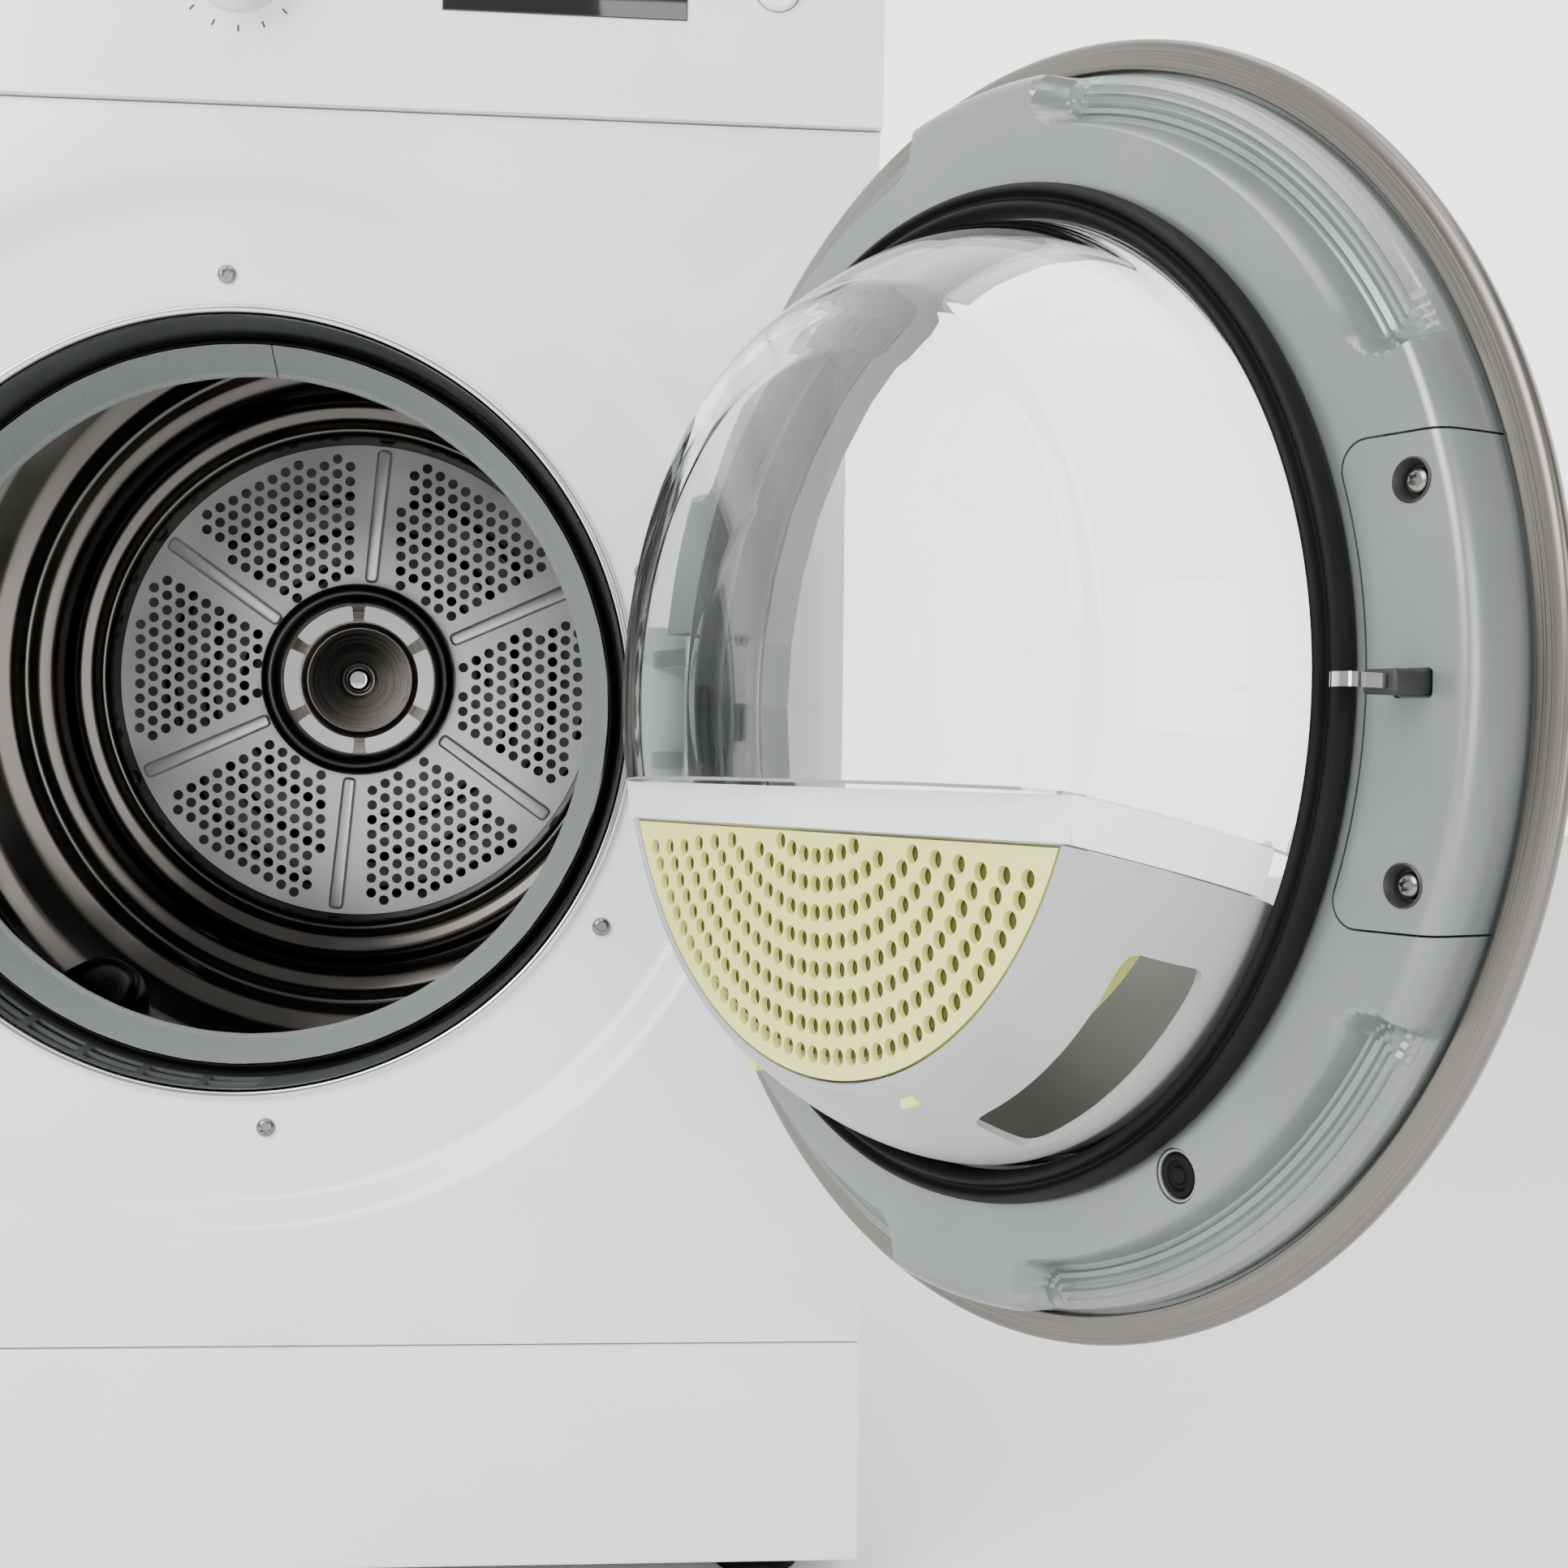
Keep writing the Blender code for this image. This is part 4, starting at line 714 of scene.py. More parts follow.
# ---------------------------------------------------------------- cabinet front
@dataclass
class Front:
    """The pressed front sheet with the dish that the door closes into."""

    place: Matrix
    dish: float = 232.7 * MM
    rim: float = 247.0 * MM
    depth: float = 12.0 * MM
    mouth: float = 184.0 * MM
    hem: float = 18.0 * MM
    gauge: float = 1.2 * MM
    sides: int = 288
    screw_circle: float = 199.7 * MM
    screw_angles: tuple[float, ...] = (19.2, -31.1, -85.7, -141.0, 165.0, 92.0)

    def build(self) -> None:
        """Makes the sheet and the six screws on the dish's floor."""
        low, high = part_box("front_panel")
        centre = self.place.translation
        left, right = low.x - centre.x, high.x - centre.x
        bottom, top = low.z - centre.z, high.z - centre.z
        fall = [
            (self.mouth, -6.0 * MM), (self.mouth, 0.0), (self.dish - 2 * MM, 0.0),
            (self.rim - 1 * MM, self.depth),
            (self.rim + 8 * MM, self.depth),
        ]
        outline = [fall[0], (self.mouth + 1.0 * MM, 0.0), *rounded(fall[1:], 5.0 * MM, False, 8)[1:]]
        turns = [2 * math.pi * i / self.sides for i in range(self.sides)]
        for corner in (math.atan2(y, x) % (2 * math.pi) for x in (left, right) for y in (bottom, top)):
            turns[min(range(self.sides), key=lambda i: abs(turns[i] - corner))] = corner

        def reach(angle: float) -> float:
            """Distance from the mouth's centre to the sheet's edge along an angle."""
            c, s = math.cos(angle), math.sin(angle)
            across = (right if c > 0 else left) / c if abs(c) > 1e-9 else math.inf
            upward = (top if s > 0 else bottom) / s if abs(s) > 1e-9 else math.inf
            return min(across, upward)

        bm = bmesh.new()
        rows = []
        for radius, height in outline:
            rows.append([bm.verts.new((radius * math.cos(a), radius * math.sin(a), height)) for a in turns])
        for inset, height in ((2.0, 0.0), (0.6, -0.3), (0.0, -2.0), (0.0, -self.hem / MM)):
            row = []
            for a in turns:
                x, y = reach(a) * math.cos(a), reach(a) * math.sin(a)
                x = min(max(x, left + inset * MM), right - inset * MM)
                y = min(max(y, bottom + inset * MM), top - inset * MM)
                row.append(bm.verts.new((x, y, self.depth + height * MM)))
            rows.append(row)
        for inner, outer in zip(rows, rows[1:]):
            for i in range(self.sides):
                j = (i + 1) % self.sides
                bm.faces.new((inner[i], outer[i], outer[j], inner[j]))
        piece = link("front_sheet", to_mesh("front_sheet", bm))
        wall = piece.modifiers.new("sheet", "SOLIDIFY")
        wall.thickness = self.gauge
        wall.offset = -1
        baked(piece)
        slot = block("slot", mm(-202.8, -12, -10), mm(-189.8, 12, 10), 1 * MM)
        combine(piece, slot, "DIFFERENCE")
        settle(piece, self.place, ENAMEL, "cabinet", ["front_panel"])
        spots = [(*arc(self.screw_circle, a, a, 2)[0], 0.2 * MM) for a in self.screw_angles]
        turns = [0.3 * i for i in range(len(spots))]
        screws = Repeater("dish_screws").run(StarScrew(4.5 * MM).build(), spots, SCREW_STEEL, turns)
        settle(screws, self.place, SCREW_STEEL, "cabinet")


@dataclass
class Mouth:
    """The trim ring of the mouth with its lint grille, the black seal and the felt."""

    place: Matrix

    def build(self) -> None:
        """Makes the ring, both seals and the felt's seam."""
        outline = [
            (181.2, 1.6), (182.4, 3.4), (184.2, 3.8), (185.6, 2.8), (186.3, 0.4), (183.4, 0.4),
            (182.9, -3.0), (181.1, -35.5), (179.6, -35.5), (180.4, -10.0), (180.9, -1.2),
        ]
        ring = lathe("mouth_ring", outline, 0.5, 240)
        count, first, step = 7, math.radians(-146.1), math.radians(9.2)
        slots = bmesh.new()
        for i in range(count):
            turn = Matrix.Rotation(first + i * step, 4, "Z")
            for z in (-14.5, -26.5):
                centre = Matrix.Translation((180 * MM, 0, (z + 4.5) * MM))
                size = Matrix.Diagonal((20 * MM, 25 * MM, 9 * MM, 1))
                bmesh.ops.create_cube(slots, size=1, matrix=turn @ centre @ size)
        combine(ring, link("slots", to_mesh("slots", slots)), "DIFFERENCE")
        # The faces behind the ring's front take the dark grey, painted shade where the chrome wall runs into
        # shadow; the front stays chrome.
        for face in ring.data.polygons:
            face.material_index = int(face.center.z < -0.8 * MM)
        settle(ring, self.place, (CHROME, SHADED_RING_GREY), "cabinet", ["opening_ring"])
        sleeve = [(183.9, -7.0), (184.9, -7.0), (184.9, -34.0), (183.9, -34.0)]
        piece = turned("grille_sleeve", [(r * MM, z * MM) for r, z in sleeve], 200)
        settle(piece, self.place, CHARCOAL, "cabinet")
        seal = [(179.0, -33.0), (179.0, -43.6), (173.2, -43.6), (173.2, -23.6), (174.2, -23.6),
                (177.5, -33.0)]
        piece = lathe("mouth_seal_ring", seal, 0.6, 200)
        settle(piece, self.place, RUBBER, "cabinet", ["mouth_seal"])
        felt = [(172.6, -22.2), (172.6, -43.6), (162.5, -46.0), (160.8, -45.4), (161.4, -43.6),
                (163.2, -42.6)]

        def matted(height: float, angle: float) -> float:
            """Small unevenness of the felt's edge."""
            return 0.12 * MM * math.sin(17 * angle) * math.sin(31 * angle + height * 900)

        piece = lathe("mouth_felt", felt, 1.2, 240, wave=matted)
        seam = block("seam", mm(-0.35, 158, -47), mm(0.35, 175, -20), 0.1 * MM)
        seam.data.transform(Matrix.Rotation(math.radians(-3.2), 4, "Z"))
        combine(piece, seam, "DIFFERENCE")
        settle(piece, self.place, FELT, "cabinet", ["felt_seal"])


# ---------------------------------------------------------------- drum
@dataclass
class Drum:
    """The stainless drum with its perforated back, ribs, hub and paddles."""

    place: Matrix
    radius: float = 284.0 * MM
    wall: float = 1.5 * MM
    disc: float = 163.0 * MM
    floor: float = -441.0 * MM
    ribs: int = 6
    rib_start: float = 84.5
    paddle_front: float = -268.0 * MM
    paddle_length: float = 124.0 * MM
    paddle_half: float = 34.0 * MM
    pitch: float = 10.2 * MM
    hole: float = 3.5 * MM

    def build(self) -> None:
        """Makes every piece of the drum."""
        self.shell()
        self.back()
        self.hub()
        self.paddles()

    def shell(self) -> None:
        """The wall with its front cone and two rolled grooves."""
        r, w, back = self.radius, self.wall, -402 * MM
        grooves = mm(-150, -235)
        outer = [mm(200, -58), mm(212, -56), mm(270, -76), (r, -90 * MM)]
        for z in grooves:
            outer += [(r, z), (r - 4 * MM, z - 8 * MM), (r, z - 16 * MM)]
        outer.append((r, back))
        inner = [
            (radius - w, z - (w if z > -91 * MM and radius < r else 0)) for radius, z in reversed(outer)
        ]
        piece = turned("drum_wall", rounded(outer + inner, 4 * MM, True, 5), 200)
        # The drum's wall takes the steel painted dark: painted shade.
        settle(piece, self.place, SHADED_DRUM_STEEL, "drum", ["drum_shell"])

    def back(self) -> None:
        """The pressed rim of the back, the punched disc and the ribs across it."""
        front = [
            (160.5, -441.0), (163.0, -440.5), (167.0, -428.0), (171.0, -424.6), (178.0, -426.5),
            (187.0, -423.5), (193.0, -425.0), (196.5, -431.0), (206.0, -432.0), (215.0, -429.5),
            (222.0, -424.0), (232.0, -424.5), (244.0, -420.0), (262.0, -408.0), (276.0, -403.5),
            (283.6, -403.0),
        ]
        rear = [(r, z - 1.6) for r, z in reversed(front)]
        outline = [(r * MM, z * MM) for r, z in front + rear]
        rim = turned("drum_back_rim", rounded(outline, 2.5 * MM), 200)
        settle(rim, self.place, SHADED_DRUM_STEEL, "drum", ["drum_back"])
        # The rim above keeps the dark steel of painted shade; the disc and ribs below take the near-white
        # steel, a painted highlight on the same stainless sheet.
        spots = []
        column_step = self.pitch * math.sqrt(3) / 2
        reach = int(self.disc / column_step) + 1
        for column in range(-reach, reach + 1):
            for row in range(-reach, reach + 1):
                x, y = column * column_step, (row + 0.5 * (column % 2)) * self.pitch
                if 71 * MM < math.hypot(x, y) < self.disc - 7.5 * MM and self.off_ribs(x, y):
                    spots.append((x, y))
        loops = [arc(self.disc, 0, 359, 180), arc(56 * MM, 0, 357, 120)]
        sheet = Punch("drum_back_disc", self.hole, 1.2 * MM, 12).run(loops, spots, HIGHLIT_PRESSED_STEEL)
        sheet.data.transform(Matrix.Translation((0, 0, self.floor)))
        settle(sheet, self.place, HIGHLIT_PRESSED_STEEL, "drum")
        rib = [mm(68, -4.6), mm(160, -5.2), mm(160, 5.2), mm(68, 4.6)]
        bar = prism("rib", rounded(rib, 4 * MM, True, 6), 0.0, 4.2 * MM)
        crown = bar.modifiers.new("crown", "BEVEL")
        crown.width = 3.2 * MM
        crown.segments = 4
        crown.limit_method = "ANGLE"
        crown.angle_limit = math.radians(60)
        baked(bar)
        level = self.floor + 1.0 * MM
        turns = [math.radians(self.rib_start + 60 * i) for i in range(self.ribs)]
        bars = Repeater("drum_back_ribs").run(bar, [(0, 0, level)] * self.ribs, HIGHLIT_PRESSED_STEEL, turns)
        settle(bars, self.place, HIGHLIT_PRESSED_STEEL, "drum")

    def off_ribs(self, x: float, y: float) -> bool:
        """Whether a hole keeps clear of every rib and its flat border."""
        for i in range(self.ribs):
            angle = math.radians(self.rib_start + 60 * i)
            along = x * math.cos(angle) + y * math.sin(angle)
            if along > 0 and abs(y * math.cos(angle) - x * math.sin(angle)) < 15.0 * MM:
                return False
        return True

    def hub(self) -> None:
        """The rolled ring, the plate with its bright segments, and the turned cone."""
        ring = [(52.0, -439.0), (52.0, -426.0), (56.0, -419.0), (61.0, -417.8), (65.0, -421.5),
                (66.0, -428.0),
                (66.0, -439.0)]
        piece = lathe("hub_ring", ring, 2.5, 128)
        settle(piece, self.place, DARK_STEEL, "drum", ["hub_cap"])
        cone = [(0.0, -428.0), (11.0, -428.0), (12.5, -429.0), (36.0, -436.0), (38.0, -433.0),
                (40.0, -432.0),
                (53.0, -432.0), (53.0, -439.6), (0.0, -439.6)]
        piece = lathe("hub_plate", cone, 0.8, 128)
        settle(piece, self.place, TURNED_STEEL, "drum")
        outline = arc(51 * MM, -25, 25, 15) + arc(40.5 * MM, 25, -25, 15)
        pad = prism("pad", rounded(outline, 1.5 * MM, True, 3), 0.0, 1.6 * MM)
        turns = [math.radians(self.rib_start + 36.5 + 60 * i) for i in range(self.ribs)]
        # The pads take the near-white steel, a painted highlight.
        pads = Repeater("hub_pads").run(pad, [(0, 0, -432.2 * MM)] * self.ribs, HIGHLIT_PRESSED_STEEL, turns)
        settle(pads, self.place, HIGHLIT_PRESSED_STEEL, "drum")
        stud = [(0.0, -424.5), (6.0, -424.8), (9.5, -426.2), (10.5, -428.5), (0.0, -428.5)]
        piece = lathe("hub_nut", stud, 1.0, 48)
        settle(piece, self.place, CHROME, "drum")

    def paddles(self) -> None:
        """Three paddles with crowned tops."""
        slices, across = 31, 16
        foot = math.sqrt((self.radius - self.wall) ** 2 - self.paddle_half**2) - 2.4 * MM
        for i in range(3):
            turn = Matrix.Rotation(2 * math.pi * i / 3 - math.radians(5), 4, "Z")
            bm = bmesh.new()
            sections = []
            for k in range(slices):
                share = (1 - math.cos(math.pi * k / (slices - 1))) / 2
                z = self.paddle_front - self.paddle_length * share
                height = (8 + 40 * math.sin(math.pi * share) ** 0.45) * MM
                row = []
                for m in range(across + 1):
                    t = 2 * m / across - 1
                    lift = height * (1 - abs(t) ** 2.6) ** 0.8
                    row.append(bm.verts.new(turn @ Vector((foot - lift, self.paddle_half * t, z))))
                sections.append(row)
            for a, b in zip(sections, sections[1:]):
                for m in range(across):
                    bm.faces.new((a[m], a[m + 1], b[m + 1], b[m]))
                bm.faces.new((a[0], b[0], b[across], a[across]))
            bm.faces.new(sections[0])
            bm.faces.new(sections[-1][::-1])
            name = f"paddle_{i + 1}"
            piece = link(name, to_mesh(name, bm))
            # The paddles take the same steel with painted shade.
            settle(piece, self.place, SHADED_DRUM_STEEL, "drum", [f"drum_lifter_{i + 1}"])


# ---------------------------------------------------------------- door
@dataclass
class Bowl:
    """The side of the pressed glass bowl, which the filter housing below it carries on."""

    base: float = 165.5 * MM
    rim: float = 136.5 * MM
    depth: float = 57.0 * MM

    def radius(self, depth: float) -> float:
        """Radius of the side at a depth in from the door's liner."""
        share = max(0.0, min(1.0, depth / self.depth))
        return self.base + (self.rim - self.base) * share**1.6

    def side(self, inset: float, first: float, last: float, count: int = 14) -> list[Point]:
        """Points down the side between two depths, drawn in by an inset."""
        depths = [first + (last - first) * i / (count - 1) for i in range(count)]
        return [(self.radius(d) - inset, -d) for d in depths]


@dataclass
class Slope:
    """The sloping line across the door where glass, handle and housing meet."""

    top: float = -32.7 * MM
    drop: float = 16.3 * MM
    height: float = 14.0 * MM
    run: float = 57.0 * MM

    def point(self, offset: float) -> tuple[float, float, float]:
        """A point on the line at the bowl's rim, moved up by an offset."""
        return 0.0, self.top + offset, -self.run

    def normal(self, upward: bool) -> tuple[float, float, float]:
        """The line's normal, up or down."""
        sign = 1.0 if upward else -1.0
        return 0.0, sign * self.run, sign * self.drop


@dataclass
class Door:
    """The round door: steel rim, silver liner, gasket, glass bowl and filter housing."""

    place: Matrix
    bowl: Bowl = field(default_factory=Bowl)
    slope: Slope = field(default_factory=Slope)
    face: float = 4.0 * MM
    cover_half: float = 69.0 * MM
    bumper_spot: Point = arc(188.0 * MM, -126.5, -126.5, 2)[0]
    latch_x: float = -196.8 * MM

    def build(self) -> None:
        """Makes every piece of the door in order."""
        self.rim()
        self.liner()
        self.gasket()
        self.glass()
        self.housing()
        self.latch()
        self.bumper()

    def rim(self) -> None:
        """The rolled steel rim, the frame inside it and the outer glass."""
        outline = [
            (219.2, 25.0), (228.5, 26.2), (230.0, 28.0), (229.0, 31.5), (226.2, 35.8), (222.5, 41.0),
            (216.5, 46.0), (208.0, 48.7), (196.0, 50.0), (194.5, 48.5), (208.0, 46.5), (215.0, 44.0),
            (220.3, 39.5), (224.0, 34.5), (226.2, 30.0), (226.2, 28.4), (219.2, 26.8),
        ]
        piece = lathe("rim_steel", outline, 1.6, 240, 5)
        settle(piece, self.place, BRUSHED_STEEL, "door", ["door_rim"])
        pane = [(0.0, 43.0), (192.4, 43.0), (192.4, 48.2), (190.8, 49.0), (0.0, 49.0)]
        piece = lathe("outer_glass", pane, 0.8, 160)
        settle(piece, self.place, GLASS, "door", ["door_glass"])

    def grip(self, radius: float, angle: float) -> float:
        """How deep the nearest finger grip is at a point, with the fine ribs on its floor, in metres."""
        turn = (angle + 180) % 360 - 180
        off = math.radians(abs(abs(turn) - (126.5 if abs(turn) > 90 else 53.5)))
        corner = 14 * MM
        along = off * 205 * MM - 97.7 * MM + corner
        across = 197.5 * MM - radius + corner
        inside = corner - math.hypot(max(along, 0), max(across, 0)) - min(max(along, across), 0)
        if inside <= 0:
            return 0.0
        t = min(1.0, inside / (4 * MM))
        lines = mm(6.5, 9.5, 12.5, 15.5)
        ribs = sum(math.exp(-(((inside - line) / (0.75 * MM)) ** 2)) for line in lines)
        return 13.5 * MM * t * t * (3 - 2 * t) - 1.0 * MM * ribs

    def press_grips(self, piece: bpy.types.Object) -> None:
        """Presses the four grips into the liner, fading out down its slope."""
        full, none = 6.4 * MM, 24 * MM
        for vert in piece.data.vertices:
            x, y, z = vert.co
            share = min(1.0, max(0.0, (none - z) / (none - full)))
            if share > 0:
                vert.co.z = z + share * self.grip(math.hypot(x, y), math.degrees(math.atan2(y, x)))

    def liner_sheet(self, name: str) -> bpy.types.Object:
        """The liner's face and slope as one ring with a thickness, before it is cut and pressed."""
        gauge = 2.2 * MM
        face = rounded(
            [(166 * MM, self.face + 3 * MM), (178.4 * MM, self.face), (213.0 * MM, self.face),
             mm(216.0, 7.5), mm(217.6, 23.0), mm(217.6, 28.0)], 3 * MM, False, 6,
        )
        back = rounded(
            [mm(215.4, 28.0), mm(215.4, 23.0), mm(214.0, 9.0), (212.0 * MM, self.face + gauge),
             (178.6 * MM, self.face + gauge), (166.4 * MM, self.face + gauge + 3 * MM)], 3 * MM, False, 6,
        )
        outline = face + back
        dense: list[Point] = []
        for a, b in zip(outline, outline[1:] + outline[:1]):
            pieces = max(1, round(math.dist(a, b) / (0.9 * MM)))
            spots = [Vector(a).lerp(Vector(b), i / pieces) for i in range(pieces)]
            dense += [tuple(spot) for i, spot in enumerate(spots) if spot.x > 194 * MM or i == 0]
        return turned(name, dense, 800)

    def cover_outline(self, margin: float) -> list[Point]:
        """Outline of the latch cover, grown by a margin all round, with its inner corners rounded."""
        inner, half, soft = 181.0 * MM - margin, self.cover_half + margin, 8 * MM + margin
        cy = half - soft
        cx = -math.sqrt((inner + soft) ** 2 - cy * cy)
        to_middle = math.degrees(math.atan2(-cy, -cx))
        bend = math.degrees(math.atan2(cy, cx))
        upper = arc(soft, 90, to_middle, 9, (cx, cy))
        lower = [(x, -y) for x, y in reversed(upper)]
        return [(-240 * MM, half), *upper, *arc(inner, bend, 360 - bend, 27)[1:-1], *lower,
                (-240 * MM, -half)]

    def liner(self) -> None:
        """The silver liner with its grips, the latch cover let into it, and the hinge's notch."""
        sheet = self.liner_sheet("liner_shell")
        cover = self.liner_sheet("latch_cover_plate")
        gap = 0.35 * MM
        combine(sheet, prism("window", self.cover_outline(gap), -10 * MM, 40 * MM), "DIFFERENCE")
        notch = block("notch", mm(188, -33.5, -5), mm(245, 33.5, 29), 1 * MM)
        combine(sheet, notch, "DIFFERENCE")
        drill(sheet, self.bumper_spot, 8.7 * MM)
        self.press_grips(sheet)
        settle(sheet, self.place, SILVER, "door", ["door_liner"])
        combine(cover, prism("keep", self.cover_outline(-gap), -10 * MM, 40 * MM), "INTERSECT")
        screws = [mm(-195, -55.6), mm(-195, 55.6)]
        for spot in screws:
            drill(cover, spot, 5.6 * MM)
        hatch = block("hatch", (self.latch_x - 6.5 * MM, -4.1 * MM, -5 * MM),
                      (self.latch_x + 6.5 * MM, 4.1 * MM, 20 * MM), 1.2 * MM)
        combine(cover, hatch, "DIFFERENCE")
        settle(cover, self.place, SILVER, "door", ["latch_cover"])
        spots = [(x, y, 0.0) for x, y in screws]
        cup = [(6.4, 3.7), (5.9, 3.4), (5.2, 4.6), (4.4, 7.5), (0.0, 7.5), (0.0, 8.5), (5.0, 8.5),
               (5.4, 5.0)]
        shape = turned("cup", [(r * MM, z * MM) for r, z in cup], 48)
        cups = Repeater("screw_cups").run(shape, spots, SOOT)
        settle(cups, self.place, SOOT, "door")
        head = StarScrew(3.9 * MM, 2.0 * MM).build()
        head.data.transform(Matrix.Rotation(math.pi, 4, "X"))
        spots = [(x, y, 7.2 * MM) for x, y in screws]
        heads = Repeater("latch_screws").run(head, spots, SCREW_STEEL, [0.2, 0.7])
        settle(heads, self.place, SCREW_STEEL, "door")

    def gasket(self) -> None:
        """The black gasket with its two lips."""
        outline = [
            (166.8, 3.7), (178.2, 3.7), (178.6, 1.0), (177.2, -3.4), (175.2, -4.4), (173.4, -2.0),
            (172.4, -1.8), (171.2, -4.8), (169.4, -5.2), (167.6, -2.6), (166.8, 0.0),
        ]
        piece = lathe("gasket_ring", outline, 1.0, 240)
        settle(piece, self.place, RUBBER, "door", ["door_gasket"])

    def glass(self) -> None:
        """The pressed glass bowl above the sloping line."""
        bowl, deep = self.bowl, self.bowl.depth
        wall = 4.5 * MM
        outer = [mm(166.3, 27), mm(166.3, 2), *bowl.side(0, 3 * MM, 53 * MM)]
        outer += [(bowl.radius(deep) + 0.4 * MM, -deep + 0.6 * MM), (133.5 * MM, -deep - 2.6 * MM)]
        outer += [(128 * MM, -deep - 4.6 * MM), (115 * MM, -deep - 7.0 * MM), (70 * MM, -deep - 9.0 * MM)]
        outer.append((0.0, -deep - 9.5 * MM))
        inner = [(0.0, -deep - 9.5 * MM + wall), (70 * MM, -deep - 9.0 * MM + wall)]
        inner += [(114 * MM, -deep - 7.0 * MM + wall), (126 * MM, -deep - 4.0 * MM + wall)]
        inner += list(reversed(bowl.side(wall, 3 * MM, 53 * MM)))
        inner += [(166.3 * MM - wall, 2 * MM), (166.3 * MM - wall, 27 * MM)]
        piece = turned("glass_bowl", rounded(outer + inner, 2.0 * MM, True, 5), 240)
        sliced(piece, self.slope.point(0.5 * MM), self.slope.normal(False))
        settle(piece, self.place, GLASS, "door", ["door_bowl"], 50)

    def housing(self) -> None:
        """The grey housing of the filter below the handle, with its side window and inner floor."""
        bowl = self.bowl
        lip = 132.6 * MM
        under = 54.0 * MM
        outline = [mm(60, 27), mm(164, 27), mm(164, 2), *bowl.side(0.4 * MM, 3 * MM, 55 * MM)]
        outline += [(bowl.radius(57 * MM) - 0.6 * MM, -56.6 * MM), mm(134.6, -57.6), (lip, -57.4 * MM)]
        outline += [(lip, -under), *reversed(bowl.side(3.2 * MM, 3 * MM, under))]
        outline += [mm(160.8, 1), mm(160.8, 24.5), mm(60, 24.5)]
        piece = turned("housing_shell", rounded(outline, 0.8 * MM, True, 4), 240)
        sliced(piece, self.slope.point(-self.slope.height - 0.5 * MM), self.slope.normal(True))
        bm = bmesh.new()
        corners = [(-113, 12), (-113, 36), (-149, 36), (-149, 12)]
        path = rounded([(a * MM, d * MM) for a, d in corners], 4 * MM, True, 5)
        rows = []
        for radius in mm(120, 200):
            rows.append([])
            for a, d in path:
                x, y = arc(radius, a / MM, a / MM, 2)[0]
                rows[-1].append(bm.verts.new((x, y, -d)))
        bm.faces.new(rows[0])
        bm.faces.new(rows[1][::-1])
        for i in range(len(path)):
            j = (i + 1) % len(path)
            bm.faces.new((rows[0][i], rows[0][j], rows[1][j], rows[1][i]))
        combine(piece, link("window", to_mesh("window", bm)), "DIFFERENCE")
        settle(piece, self.place, HOUSING, "door", ["filter_housing"], 40)
        tab = block("tab", mm(139.0, -3.5, -52), mm(143.4, 3.5, -48), 0.5 * MM)
        turns = [math.radians(a) for a in (-109.2, -70.7)]
        tabs = Repeater("housing_tabs").run(tab, [(0, 0, 0)] * 2, YELLOW, turns)
        settle(tabs, self.place, YELLOW, "door")

    def latch(self) -> None:
        """The chromed hook in its dark block."""
        x = self.latch_x
        piece = block("hook_block", (x - 5.6 * MM, -3.4 * MM, -10 * MM), (x + 5.6 * MM, 3.4 * MM, 9 * MM),
                      1.0 * MM)
        settle(piece, self.place, SOOT, "door")
        outline = rounded([(-3.4, -10), (3.4, -10), (3.8, -21), (3.0, -27), (-2.4, -27), (-4.2, -24),
                           (-2.6, -20)],
                          1.8, True, 4)
        bar = prism("hook_bar", [mm(px, pz) for px, pz in outline], -2.0 * MM, 2.0 * MM)
        bar.data.transform(Matrix.Translation((x, 0, 0)) @ Matrix.Rotation(math.pi / 2, 4, "X"))
        hollow = block("hollow", (x - 1.4 * MM, -1.0 * MM, -24 * MM), (x + 1.6 * MM, 1.0 * MM, -8 * MM),
                       0.4 * MM)
        combine(bar, hollow, "DIFFERENCE")
        settle(bar, self.place, CHROME, "door", ["latch_hook"])

    def bumper(self) -> None:
        """The rubber bumper in its ringed collar."""
        spot = Matrix.Translation((*self.bumper_spot, 0))
        collar = [(8.5, 4.9), (8.2, 4.4), (7.6, 4.4), (7.3, 4.9), (7.3, 9.0), (8.5, 9.0)]
        piece = lathe("bumper_collar", collar, 0.4, 64)
        settle(piece, self.place @ spot, SILVER, "door")
        body = [(0.0, 4.7), (2.6, 4.7), (3.0, 5.8), (4.4, 5.8), (4.8, 4.6), (6.4, 4.4), (7.0, 5.0),
                (7.2, 9.0),
                (0.0, 9.0)]
        piece = lathe("bumper_rubber", body, 0.5, 64)
        settle(piece, self.place @ spot, RUBBER, "door", ["door_bumper"])


